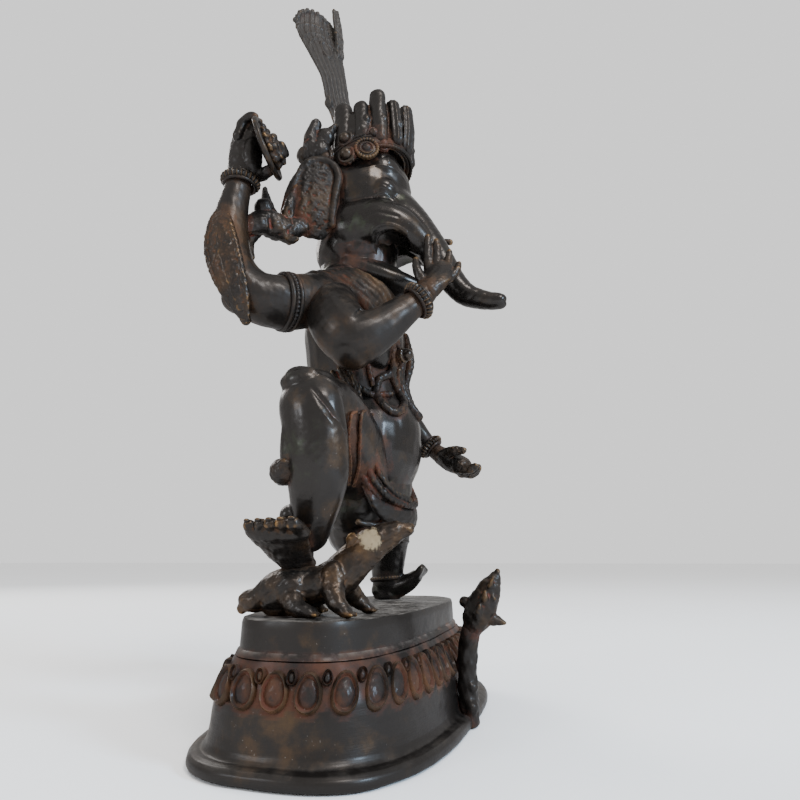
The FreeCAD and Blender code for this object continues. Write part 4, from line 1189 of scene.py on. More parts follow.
@dataclass
class Legs:
    """The standing leg, and the raised one with its foot on the rat."""

    shop: Workshop

    def build_standing(self) -> None:
        """Thigh, shin and the foot with its upturned toes."""
        leg = Clay("standing_leg_skin", 0.6, 5)
        leg.add(
            limb(
                [
                    (22, 6, 60, 15, 15), (34, 4, 50, 13.8, 13.8), (43, 3, 38, 11.6, 12.4),
                    (47, 4.6, 27, 9.6, 10.8),
                ]
                + [(49.5, 5.8, 15, 7.8, 9.2), (51, 6.6, 7, 7.2, 8.2), (51, 6.5, 2.6, 6.6, 7.6)],
                rings=64,
            ),
            limb([
                (51, 11, 4.6, 6.2, 4.6), (52, 3, 6, 7.0, 6.4), (52, -5, 8.4, 7.4, 5.2),
                (52, -10, 11.8, 7.0, 3.8),
            ]),
            blob((50, 5, 2.0), (5.6, 5.6, 2.0)),
        )
        for number in range(5):
            x = 47.0 + 2.5 * number
            tip = 17.4 - 0.7 * abs(number - 1)
            leg.add(limb([
                (x, -8.5, 11, 1.9, 2.6), (x, -12.4, 13.8, 1.8, 2.3), (x, -14.6, tip, 1.6, 1.8),
            ], segments=12))
        skin = leg.fire(
            lambda points, normals: side_line(points, [(12, 30), (3, 33), (-8, 31)], 0.7, -0.5),
            cast_skin(0.14, 9.0, 33),
        )
        write_points(skin, np.maximum(read_points(skin), [-999, -999, PLINTH_TOP]))
        self.shop.finish(skin, Finish.BELLY, "worn_brass", ["standing_leg"])
        ring = Clay("anklet_skin", 0.4, 2)
        ring.add(hoop((50.4, 6.4, 11), (0, 0.1, 1), 8.0, 1.6))
        ring.keep(hoop((50.4, 6.4, 11.3), (0, 0.1, 1), 9.0, 0.8, 34))
        self.shop.finish(ring.fire(), Finish.DARK, "dark_brass", ["anklet"])

    def build_raised(self) -> None:
        """Thigh and shin under drawn cloth: a sharp knee, a wide shin with a ridge, and hem lines."""
        leg = Clay("raised_leg_skin", 0.7, 5)
        leg.add(
            limb(
                [
                    (-6, 4, 62, 20, 21), (-26, 2, 74, 18, 18.5), (-50, 0, 86, 13.8, 14),
                    (-68, 1, 86, 11.5, 10.5),
                ],
                (0, 1, 0),
            ),
            limb(
                [
                    (-71, 1, 90, 12, 8.0), (-74, -1.4, 82, 13.6, 10.4), (-73, -4, 66, 13.0, 11.5),
                    (-71, -4, 52, 12.4, 10.8),
                ]
                + [(-68, -1.6, 40, 9.8, 8.6), (-64, 2, 31, 7.6, 7.2)],
                (0, 1, 0),
                28,
                64,
            ),
            blob((-75.0, 2.6, 91.6), (7.4, 9.2, 6.4), (0, 14, 0)),
            blob((-78.2, 5.4, 70), (3.6, 3.8, 21), (4, 0, 0)),
            blob((-78.4, -8.6, 70), (3.6, 3.0, 18), (-6, 0, 0)),
            blob((-67.5, 8.6, 38.5), (6.4, 4.4, 4.6)),
        )
        hem = [
            (-76, 15, 86), (-81, 8.9, 94.8), (-79, 3, 97.5), (-78, -4, 95.6), (-76, -11, 91),
            (-66, -15.5, 84),
        ]
        fold = [(-83, -1, 93.5), (-84, -4, 90), (-83, -9, 83), (-80, -14, 76), (-72, -16.5, 70)]
        second = [(-83, 0.5, 92.5), (-85.5, -5.5, 84), (-83, -11, 76), (-78, -14.5, 70)]
        skin = leg.fire(
            grooves([hem], 0.9, -0.75),
            lambda points, normals: groove_line(points, fold, 0.9, 0.9) + groove_line(
                points, second, 0.8, -0.45,
            ),
            lambda points, normals: groove_line(
                points, [(-80, 12, 78), (-81, 9, 62), (-76, 8, 46)], 1.6, 0.5,
            ),
            cast_skin(0.16, 13.0, 34),
            lambda points, normals: 0.05 * lumpy(points, 3.0, 35),
        )
        self.shop.finish(skin, Finish.SATIN, "dark_brass", ["raised_leg"])
        boss = Clay("knee_boss_skin", 0.45, 3)
        boss.add(blob((-77, 8, 55), (5.5, 5.7, 5.6)), blob((-74, 8, 55), (5.0, 4.6, 4.6)))
        boss.add(blob((-78.5, 6.2, 57.8), (4.0, 3.4, 2.4)))
        lines = [
            [(-84, 9, 58), (-83.2, 8, 52)], [(-83, 12, 57), (-81, 11, 51)],
            [(-83, 4, 57), (-82.6, 5, 52)],
        ]
        skin = boss.fire(grooves(lines, 0.6, 0.5), cast_skin(0.2, 3.0, 36))
        self.shop.finish(skin, Finish.WORN, "dark_brass", ["knee_boss"])

    def build_foot(self) -> None:
        """The raised foot, heel down on the rat and toes fanned outward."""
        foot = Clay("raised_foot_skin", 0.5, 3)
        sole = [
            (-59, 8, 20, 6.8, 5.0), (-66, 8.5, 24, 8.8, 6.4), (-74, 8.5, 28, 11.2, 5.2),
            (-81, 8, 31, 12.8, 3.8),
        ]
        foot.add(
            limb(sole, (0, 1, 0)), blob((-66, 8, 31), (6.0, 7.0, 5.0)), blob((-60, 8, 19), (5, 6, 4.6)),
        )
        for number in range(5):
            y, long, wide = -2.2 + number * 5.1, 6.0 - 0.8 * number, 3.1 - 0.16 * number
            tip = (-81 - long, y, 34.2, wide, wide * 0.85)
            foot.add(limb([
                (-79, y, 31, wide, wide), (-82.5, y, 32.6, wide * 0.9, wide * 0.9), tip,
            ], (0, 1, 0), 14, 24))
            foot.keep(blob((-82.0 - long, y, 35.6 - 0.1 * number), (2.0, wide * 0.55, 0.9), (0, 24, 0)))
        skin = foot.fire(cast_skin(0.3, 6.0, 37), pits(0.12, 2.6, 38))
        self.shop.finish(skin, Finish.WORN, "worn_brass", ["raised_foot"])

    def build(self) -> None:
        """Builds both legs."""
        self.build_standing()
        self.build_raised()
        self.build_foot()


@dataclass
class Body:
    """Hips with the wrapped cloth, belly, chest, and what is draped over them."""

    shop: Workshop

    def build_hips(self) -> None:
        """The hips, the hem that sweeps across them and the short hanging end."""
        hips = Clay("hips_skin", 0.75, 5)
        hips.add(limb([
            (10, 6, 39, 24, 19), (9, 6, 50, 31, 25), (7, 7, 62, 33.6, 27), (6, 7, 71, 33, 27),
        ], rings=50))
        hips.add(blob((-9, 6, 48), (14, 15, 14)), blob((22, 8, 52), (16, 17, 14)))
        folds = [
            [(-30, 18, 60), (-31, 6, 48), (-24, -6, 41), (-8, -16, 40)],
            [(-26, 26, 60), (-28, 16, 46), (-20, 6, 38)],
            [(30, -14, 52), (14, -20, 47), (-4, -19, 47), (-20, -10, 52)],
            [(36, 22, 62), (38, 12, 50), (32, -2, 42), (20, -12, 38)],
            [(34, 30, 52), (20, 33, 44), (2, 31, 42), (-14, 27, 48)],
        ]
        skin = hips.fire(grooves(folds, 1.3, -0.8), cast_skin(0.18, 12.0, 41))
        self.shop.finish(skin, Finish.SATIN, "dark_brass", ["hips"])
        cloth = Clay("loincloth_skin", 0.55, 3)
        hem = [
            (-23, -8, 55, 2.4, 4.6), (-18, -12, 47, 3.0, 6.4), (-8, -17, 43, 3.2, 6.8),
            (6, -19.5, 42, 3.2, 6.8),
        ]
        cloth.add(limb(hem + [(22, -16.5, 45, 3.0, 6.6), (35, -10, 51, 2.6, 5.0)], (0, 1, 0), rings=70))
        cloth.add(strand([
            (-24, -4, 38), (-17, -12, 36.6), (-8, -17.5, 38), (4, -20, 38), (18, -18, 40),
        ], 1.5, rings=60))
        cloth.add(limb([
            (-2, -9, 42, 5, 4.4), (-6, -5, 35, 4.4, 3.6), (-9, 0, 30, 3.0, 2.6), (-10, 3, 27, 1.8, 1.8),
        ]))
        cloth.add(limb([(2, -11, 41, 4, 3.4), (1, -10, 33, 3.0, 2.4), (0, -10, 29, 1.6, 1.6)]))
        lines = [
            [(-20, -14, 50), (-8, -21, 46), (8, -23, 46), (24, -19, 49)],
            [(-6, -9, 42), (-9, -4, 34), (-11, 1, 28)],
        ]
        skin = cloth.fire(grooves(lines, 0.8, 0.8), cast_skin(0.22, 5.0, 42))
        self.shop.finish(skin, Finish.PIGMENT, "dark_brass", ["loincloth"])

    def build_torso(self) -> None:
        """Pot belly, full chest, sloping shoulders and a thick neck."""
        torso = Clay("torso_skin", 0.8, 6)
        torso.add(blob((4, 2, 79), (33.6, 28, 33)), blob((2, -6, 84), (24, 20.5, 22)))
        chest = [
            (4, 7, 88, 29.6, 25.6), (3, 8.5, 108, 27.6, 25), (2, 8.5, 126, 30.6, 26.4),
            (1, 9.5, 142, 34.6, 25.6),
        ]
        torso.add(limb(chest + [(0, 12, 155, 35, 20.6), (0, 13, 163, 25, 17.6)], rings=60))
        torso.add(limb([(0, 11, 150, 20, 22), (0, 9, 172, 18.6, 21.6), (0, 7, 186, 18.6, 21.6)]))
        torso.add(blob((-15, -9, 126), (12, 9, 12)), blob((15, -9, 126), (12, 9, 12)))
        torso.add(blob((2, 33.5, 120), (3, 4, 26)))
        navel = [(2, -30, 84), (2, -30, 80)]
        under = [(-30, -4, 58), (-20, -13, 50), (-4, -20, 46), (16, -18, 50), (30, -8, 58)]
        back = [(2, 36, 100), (1, 37, 120), (0, 34, 145)]
        skin = torso.fire(
            lambda points, normals: groove_line(
                points, navel, 1.6, 1.8,
            ) + groove_line(points, under, 2.0, 0.8),
            grooves([back], 2.4, 1.2),
            cast_skin(0.16, 16.0, 43),
        )
        self.shop.finish(skin, Finish.BELLY, "dark_brass", ["torso"])

    def build_drapery(self) -> None:
        """The scarf bands over the shoulder, the garland with its loop, the jewel and the flank cord."""
        bands = Clay("shoulder_scarf_skin", 0.5, 2)
        for number in range(5):
            s = 3.6 * number
            path = [
                (-16 + s * 0.5, 34 - s * 0.55, 159 + s * 0.2),
                (-25 + s * 0.5, 27 - s * 0.7, 164 + s * 0.1),
                (-30 + s * 0.5, 17 - s * 0.9, 162 + s * 0.25),
                (-29 + s * 0.45, 4 - s * 0.9, 154 + s * 0.3),
                (-24 + s * 0.5, -9 - s * 0.6, 143 + s * 0.5),
                (-15 + s * 0.5, -18 - s * 0.25, 131 + s * 0.6),
            ]
            rows = [(x, y, z, 3.7, 2.4) for x, y, z in path]
            bands.add(limb(rows, (-0.3, 0.4, 0.8), 26, 110, twist(26.0, 0.10, 4)))
        skin = bands.fire(cast_skin(0.12, 3.2, 44))
        self.shop.finish(skin, Finish.POCKED, "dark_brass", ["shoulder_scarf"])

        chain = Clay("garland_skin", 0.42, 1)
        torso = bpy.data.objects["torso_skin"]
        outer = [
            (-14, -15, 143), (-9, -18.4, 130), (-2, -19, 124), (-1, -18.6, 112), (2, -20, 101),
            (6, -24, 93), (12, -22, 100), (14, -18.5, 112), (13, -18.5, 126), (16, -15, 142),
        ]
        tongue = [
            (-6, -19, 126), (-9.7, -14.5, 114), (-15.6, -10.6, 109), (-18, -10.3, 100.7),
            (-18.9, -15.3, 93.3), (-14.2, -19.5, 91.4), (-7, -20.6, 97), (-3, -17.1, 106),
            (-4, -18, 116),
        ]
        third = [
            (-19, -11, 141), (-17, -13, 131), (-13, -13, 121), (-7.7, -15.1, 112), (-1, -20, 105),
            (4, -20, 98),
        ]
        for path, radius in ((outer, 2.7), (tongue, 2.3), (third, 2.3)):
            laid = laid_on(torso, path, 0.8)
            chain.add(strand(laid, radius, segments=24, rings=190, ripple=twist(7.0, 0.12, 2)))
        skin = chain.fire(cast_skin(0.10, 2.4, 45))
        self.shop.finish(skin, Finish.DARK, "dark_brass", ["garland"])

        jewel = Clay("pendant_skin", 0.35, 2)
        jewel.add(
            blob((-11.5, -24.0, 122.0), (3.2, 3.2, 3.2)), blob((-11.5, -20.5, 121.5), (3.6, 3.4, 3.6)),
        )
        jewel.add(hoop((-11.5, -22.4, 121.8), (-0.3, -1, 0), 3.3, 0.8, 16))
        self.shop.finish(jewel.fire(), Finish.BELLY, "dark_brass", ["pendant"])

        cord = Clay("belly_cord_skin", 0.45, 2)
        flank = [
            (-31, 4, 110), (-33.4, -2, 98), (-33.6, -5, 86), (-32, -8, 72), (-27, -11, 59),
            (-20, -16, 50.6), (-8, -20.4, 47.4), (6, -22, 47.6), (18, -19, 52), (27, -13, 61),
        ]
        beside = [(x + 2.4, y - 3.0, z + 1.8) for x, y, z in flank[:7]]
        behind = [(x - 1.6, y + 3.2, z - 1.2) for x, y, z in flank[:6]]
        upper = [
            (-29, -6, 138), (-24.8, -3.3, 121), (-25.3, 0.5, 114), (-24.5, 1.6, 107.9), (-21, -8, 101),
            (-12, -16, 103),
        ]
        upper = laid_on(torso, upper, 0.9)
        doubled = laid_on(
            torso, [(-28, -12, 136), (-21.5, -7.9, 121.6), (-20.8, -6.6, 115), (-18.3, -8.1, 106)], 0.8,
        )
        tied = laid_on(torso, [(-30, 3, 132), (-27, 6, 120), (-26, 6, 110)], 0.9)
        thigh = bpy.data.objects["raised_leg_skin"]
        inner = [(-20, -13, 94), (-49, -13, 84), (-44, -10.4, 73), (-36, -8, 62.5), (-30, -4, 54)]
        crossed = [(-24, -14, 92), (-56, -13, 82), (-50, -9, 72), (-40, -6, 62), (-32, -2, 53)]
        inner, crossed = laid_on(thigh, inner, 0.6), laid_on(thigh, crossed, 0.6)
        ropes = (
            (flank, 2.1), (beside, 1.6), (behind, 1.7), (upper, 2.0), (doubled, 1.6), (tied, 1.7),
            (inner, 1.0), (crossed, 0.9),
        )
        for path, radius in ropes:
            cord.add(strand(path, radius, segments=20, rings=150, ripple=twist(6.0, 0.2, 2)))
        skin = cord.fire(cast_skin(0.15, 3.0, 46))
        self.shop.finish(skin, Finish.PIGMENT, "dark_brass", ["belly_cord"])

    def build(self) -> None:
        """Builds the trunk of the body and its drapery."""
        self.build_hips()
        self.build_torso()
        self.build_drapery()


@dataclass
class Arms:
    """The four arms with their hands, rings, ribbons and the plate of sweets."""

    shop: Workshop

    def build_rear(self, side: Side) -> None:
        """A raised rear arm: out and back to the elbow, then straight up.

        Args:
            side: which arm it is.
        """
        name = side.name.lower()
        arm = Clay(f"rear_arm_{name}_skin", 0.65, 5)
        rows = [
            (24, 18, 152, 12.6, 13.6), (38, 21, 146, 12.6, 13.6), (50, 28, 141, 12.4, 13.2),
            (58, 38, 143, 11.8, 12.2), (62, 46, 153, 10.5, 11), (62.5, 50, 168, 9.3, 9.8),
            (62, 51, 184, 8.0, 8.4), (61.5, 49, 200, 6.4, 6.8),
        ]
        arm.add(limb(side.place(rows + [(61, 48, 208, 5.6, 6.2)]), (0, 1, 0.3), 28, 80))
        arm.add(blob(side.spot(60, 46, 141), (8, 7, 7)))
        skin = arm.fire(cast_skin(0.16, 12.0, 51), lambda points, normals: 0.05 * lumpy(points, 3.0, 52))
        self.shop.finish(skin, Finish.WORN, "dark_brass", [f"rear_arm_{name}"])

        hand = Clay(f"rear_hand_{name}_skin", 0.5, 3)
        palm = [
            (61, 48, 208, 5.4, 6.8), (61, 47.5, 218, 5.6, 8.2), (61, 46, 229, 5.2, 8.0),
            (61, 44.5, 233, 4.6, 7.0),
        ]
        hand.add(limb(side.place(palm), (1, 0, 0)))
        for number in range(4):
            x = 54.9 + 4.1 * number
            finger = [(x, 47.6, 226, 2.3, 2.7), (x, 45.6, 233, 2.2, 2.4), (x, 41.5, 236.2, 2.1, 2.2)]
            hand.add(limb(side.place(finger + [(x, 38.4, 235.4, 1.9, 1.9)]), segments=14, rings=26))
        thumb = [(56, 44, 211, 3.6, 3.6), (56, 39, 210.0, 3.4, 3.4), (57, 34.6, 210.6, 2.8, 2.8)]
        hand.add(limb(side.place(thumb)), blob(side.spot(61, 42, 218), (6.2, 4.4, 11)))
        skin = hand.fire(cast_skin(0.2, 5.0, 53))
        self.shop.finish(skin, Finish.DARK, "dark_brass", [f"rear_hand_{name}"])

    def build_front_right(self) -> None:
        """The arm across the chest, its grained shoulder joint, and the hand held up by the trunk."""
        arm = Clay("front_arm_right_skin", 0.65, 5)
        rows = [
            (-24, 12, 148, 12.6, 13.6), (-38, 6, 138, 12.8, 13.6), (-46, -2, 126, 12.3, 13.6),
            (-47, -10, 120, 11.4, 13.6), (-44, -19, 124, 9.4, 10.8), (-39, -29, 133, 7.4, 8),
            (-36, -36, 139, 5.8, 6.2), (-33, -40, 145, 5.2, 5.6),
        ]
        arm.add(limb(rows, rings=76), blob((-47, -8, 113), (9.5, 9.5, 8)))
        skin = arm.fire(cast_skin(0.16, 11.0, 54), self.shoulder_grain)
        self.shop.finish(skin, Finish.WORN, "dark_brass", ["front_arm_right"])

        hand = Clay("front_hand_right_skin", 0.45, 3)
        palm = [(-33, -41, 146, 4.8, 6.2), (-28.5, -43.5, 153, 4.0, 7.8), (-24, -44, 160, 3.4, 7.4)]
        hand.add(limb(palm, (-0.5, 0, 0.5)))
        fingers = [
            [(-25, -39.5, 158, 2.5, 2.7), (-21.8, -38.2, 172, 2.1, 2.4), (-20.6, -38, 181, 1.5, 1.8)],
            [(-24.5, -43.5, 159, 2.5, 2.6), (-21.4, -43, 171, 2.1, 2.3), (-20.5, -42.5, 178, 1.5, 1.7)],
            [(-24.5, -47.5, 158, 2.3, 2.5), (-21.4, -48.5, 166, 2.0, 2.2), (-20.5, -49, 171, 1.5, 1.6)],
            [(-26, -50, 154, 2.2, 2.4), (-23.4, -53, 159, 1.9, 2.1), (-22.2, -54, 163, 1.3, 1.5)],
            [(-31.5, -38.5, 150, 2.7, 2.8), (-31.5, -35.2, 158, 2.2, 2.4), (-30, -34, 164, 1.6, 1.8)],
        ]
        for finger in fingers:
            hand.add(limb(finger, segments=14, rings=26))
        skin = hand.fire(cast_skin(0.15, 4.0, 55))
        self.shop.finish(skin, Finish.WORN, "dark_brass", ["front_hand_right"])

    @staticmethod
    def shoulder_grain(points: np.ndarray, normals: np.ndarray) -> np.ndarray:
        """Close-set grains over the top of the shoulder."""
        away = np.linalg.norm(points - figure(-33, 9, 146), axis=1)
        return 0.4 * lumpy(points, 2.6, 56) * np.clip((15 - away) / 6, 0, 1)

    def build_front_left(self) -> None:
        """The low left arm, stretched out with the palm up and open."""
        arm = Clay("front_arm_left_skin", 0.65, 5)
        rows = [
            (24, 16, 146, 11.6, 12.6), (39, 12, 137, 10.8, 11.8), (51, 6, 122, 9.5, 10),
            (57, -1, 108, 8.3, 8.4),
        ]
        arm.add(limb(rows + [
            (60, -10, 96, 6.5, 6.5), (61, -17, 88, 5.2, 5.2), (61, -22, 83, 4.8, 4.8),
        ], rings=76))
        skin = arm.fire(cast_skin(0.16, 11.0, 57))
        self.shop.finish(skin, Finish.SATIN, "dark_brass", ["front_arm_left"])
        hand = Clay("front_hand_left_skin", 0.45, 3)
        hand.add(limb([(61, -21, 84, 5.6, 4.8), (61, -29, 78.6, 8.0, 6.2), (61, -36.4, 75, 8.6, 5.8)]))
        hand.add(blob((55.5, -29, 79), (3.2, 5, 3.0), (-30, 0, 0)))
        for number in range(4):
            x, bend = 54.6 + 4.25 * number, 0.8 * abs(number - 1)
            drop = 73 - 0.3 * number
            finger = [
                (x, -35, drop, 2.5, 3.4), (x, -41.6, drop - 1.0, 2.4, 3.0),
                (x, -46.4 + bend, 73.4, 1.9, 2.2),
            ]
            hand.add(limb(finger, segments=14, rings=26))
        hand.add(limb([(54.5, -26, 80.6, 3.0, 3.2), (51, -33, 82.4, 2.8, 3.0), (51, -39.4, 82.4, 2.0, 2.2)]))
        skin = hand.fire(cast_skin(0.2, 4.0, 58), pits(0.25, 2.4, 59))
        self.shop.finish(skin, Finish.WORN, "dark_brass", ["front_hand_left"])

    def build_rings(self) -> None:
        """The beaded bracelets at the wrists and the ribbed rings on the upper arms."""
        wrists = [
            ((-61, 48, 204), (0.05, -0.05, 1.0), 7.2), ((61, 48, 204), (-0.05, -0.05, 1.0), 7.2),
            ((-35.5, -36.8, 139.8), (0.4, -0.68, 0.6), 6.8),
            ((61, -17.5, 87.5), (0.1, -0.7, -0.7), 5.8),
        ]
        rings = []
        for centre, axis, radius in wrists:
            n = np.array(axis) / np.linalg.norm(axis)
            for shift, wire, knobs in ((-2.0, 1.0, 0), (0.0, 2.1, 26), (2.0, 1.0, 0)):
                rings.append(hoop(np.array(centre) + n * shift, axis, radius + wire * 0.35, wire, knobs))
        self.shop.finish(join(rings, "bracelet_rings"), Finish.DARK, "dark_brass", ["bracelets"], 70.0)
        uppers = [
            ((-48, 26.5, 142), (-0.78, 0.6, -0.15), 13.0), ((48, 26.5, 142), (0.78, 0.6, -0.15), 13.0),
        ]
        rings = []
        for centre, axis, radius in (*uppers, ((47, 8.5, 128), (0.5, -0.35, -0.75), 10.6)):
            n = np.array(axis) / np.linalg.norm(axis)
            for shift, wire, knobs in ((-2.1, 1.2, 0), (0.0, 1.5, 44), (2.1, 1.2, 0)):
                rings.append(hoop(np.array(centre) + n * shift, axis, radius + wire * 0.3, wire, knobs))
        self.shop.finish(join(rings, "armlet_rings"), Finish.DARK, "dark_brass", ["armlets"], 70.0)

    def build_plate(self) -> None:
        """The rimmed plate in the raised hand, with its stepped heap of sweets."""
        middle, axis = np.array([-61.0, 34.5, 220.0]), np.array([0.156, -0.935, 0.318])
        lean = (math.degrees(math.acos(axis[2])), 0.0, math.degrees(math.atan2(axis[0], -axis[1])))
        across = np.cross(axis, [0.0, 0.0, 1.0])
        across /= np.linalg.norm(across)
        down = np.cross(axis, across)
        plate = Clay("sweets_plate_skin", 0.42, 2)
        plate.add(blob(middle, (15.4, 15.4, 1.7), lean))
        plate.add(hoop(middle + axis * 0.6, axis, 14.6, 1.4))
        plate.add(hoop(middle - axis * 1.0, axis, 8.0, 1.0))
        self.shop.finish(
            plate.fire(cast_skin(0.15, 5.0, 61)), Finish.DARK, "dark_brass", ["sweets_plate"],
        )
        heap = Clay("sweets_heap_skin", 0.42, 3)
        random = np.random.default_rng(SEED)
        tiers = ((9, 8.4, 2.4, 0.4, 2.6), (7, 5.6, 5.4, 2.0, 2.4), (4, 2.4, 8.0, 3.4, 2.4))
        for ring, (count, out, high, slip, size) in enumerate(tiers):
            for number in range(count):
                turn = 2 * math.pi * (number + 0.5 * ring) / count
                spot = middle + across * out * math.cos(turn)
                spot = spot + down * (out * math.sin(turn) + slip) + axis * high
                spot = spot + random.uniform(-0.4, 0.4, 3)
                heap.add(blob(spot, (size, size * 0.9, size * 0.8), lean))
        heap.add(blob(middle + axis * 2.2 + down * 0.4, (9.8, 9.8, 2.8), lean))
        heap.add(blob(middle + axis * 5.0 + down * 2.0, (7.0, 7.0, 2.6), lean))
        heap.add(blob(middle + axis * 7.6 + down * 3.4, (4.0, 4.0, 2.6), lean))
        self.shop.finish(heap.fire(cast_skin(0.2, 3.4, 62)), Finish.WORN, "dark_brass", ["plate_sweets"])

    def build_ribbons(self) -> None:
        """The leaf of scarf at the raised elbow, and the flame-ended ribbons behind the ears."""
        flap = Clay("elbow_scarf_skin", 0.45, 3)
        rows = [
            (-65.6, 53, 187, 2.4, 2.2), (-69.5, 51, 177, 5.8, 3.6), (-71.0, 48, 162, 8.4, 4.4),
            (-70.6, 44, 149, 8.0, 4.6), (-68.5, 40, 137, 5.2, 4.0), (-65, 37, 127, 2.4, 2.2),
        ]
        flap.add(limb(rows, (0, 1, 0), 26, 70))
        flap.add(strand([(x - 2.6, y + 5.8 * s, z) for x, y, z, s in self.flap_edge(1)], 1.5, rings=70))
        flap.add(strand([(x - 2.6, y + 5.8 * s, z) for x, y, z, s in self.flap_edge(-1)], 1.5, rings=70))
        veins = [
            [(-74, 51, 180), (-76, 48, 162), (-75, 43, 146), (-70, 38, 131)],
            [(-76, 50, 166), (-75, 44, 174)], [(-76, 48, 156), (-75, 42, 163)],
            [(-76, 50, 156), (-75, 55, 164)],
        ]
        skin = flap.fire(grooves(veins, 1.1, -0.5), pits(0.18, 3.4, 63), cast_skin(0.2, 3.0, 64))
        self.shop.finish(skin, Finish.WORN, "dark_brass", ["elbow_scarf"])
        for side in Side:
            name = side.name.lower()
            flame = Clay(f"flame_ribbon_{name}_skin", 0.45, 3)
            strokes = [
                [
                    (34, 28, 191, 4.6, 5.6), (40, 34, 187, 5.6, 6.6), (47, 41, 188, 5.6, 7.4),
                    (53, 47, 184, 3.8, 5.6),
                ],
                [
                    (38, 34, 189, 4.3, 3.8), (39.4, 31.6, 200, 3.4, 3.0), (38, 30.4, 209, 1.9, 1.7),
                    (38.6, 28.6, 212.6, 1, 0.9),
                ],
                [
                    (43, 38, 190, 4.3, 3.8), (45.6, 41.4, 200, 3.1, 2.8), (44.6, 43.6, 208, 1.8, 1.6),
                    (43, 44.6, 211.6, 1, 0.9),
                ],
                [(41, 35, 184, 4.0, 3.6), (40, 30, 180.4, 2.8, 2.6), (40, 26, 180.4, 1.2, 1.2)],
                [(48, 44, 186, 4.0, 4.0), (49, 48.4, 177, 3.0, 3.0), (46, 48, 170, 1.6, 1.6)],
            ]
            for stroke in strokes:
                flame.add(limb(side.place(stroke), (1, 0, 0), 22, 40))
            flame.add(blob(side.spot(47, 42, 196), (5.6, 5.2, 5.6)))
            creases = [
                [(-42, 30, 196), (-42, 27, 188), (-44, 30, 181)],
                [(-50, 36, 198), (-51, 36, 190), (-49, 36, 184)],
                [(-44, 36, 208), (-47, 37, 198)],
            ]
            lines = [[(-side.value * x, y, z) for x, y, z in crease] for crease in creases]
            skin = flame.fire(grooves(lines, 1.2, 1.3), cast_skin(0.25, 4.0, 65))
            self.shop.finish(skin, Finish.PIGMENT, "dark_brass", [f"flame_ribbon_{name}"])

    @staticmethod
    def flap_edge(sign: int) -> list[tuple[float, float, float, float]]:
        """The rolled edge of the elbow scarf on one side.

        Args:
            sign: 1 or -1, for the side.

        Returns:
            Places along it, each with its share of the half width.
        """
        return [
            (-65, 53, 186, sign * 0.2), (-68.5, 51, 176, sign * 0.9), (-70, 48, 162, sign * 1.35),
            (-69.6, 44, 149, sign * 1.3), (-67, 40, 137, sign * 0.85), (-63.4, 37, 128, sign * 0.2),
        ]

    def build(self) -> None:
        """Builds all the arms and what they carry."""
        for side in Side:
            self.build_rear(side)
        self.build_front_right()
        self.build_front_left()
        self.build_rings()
        self.build_plate()
        self.build_ribbons()


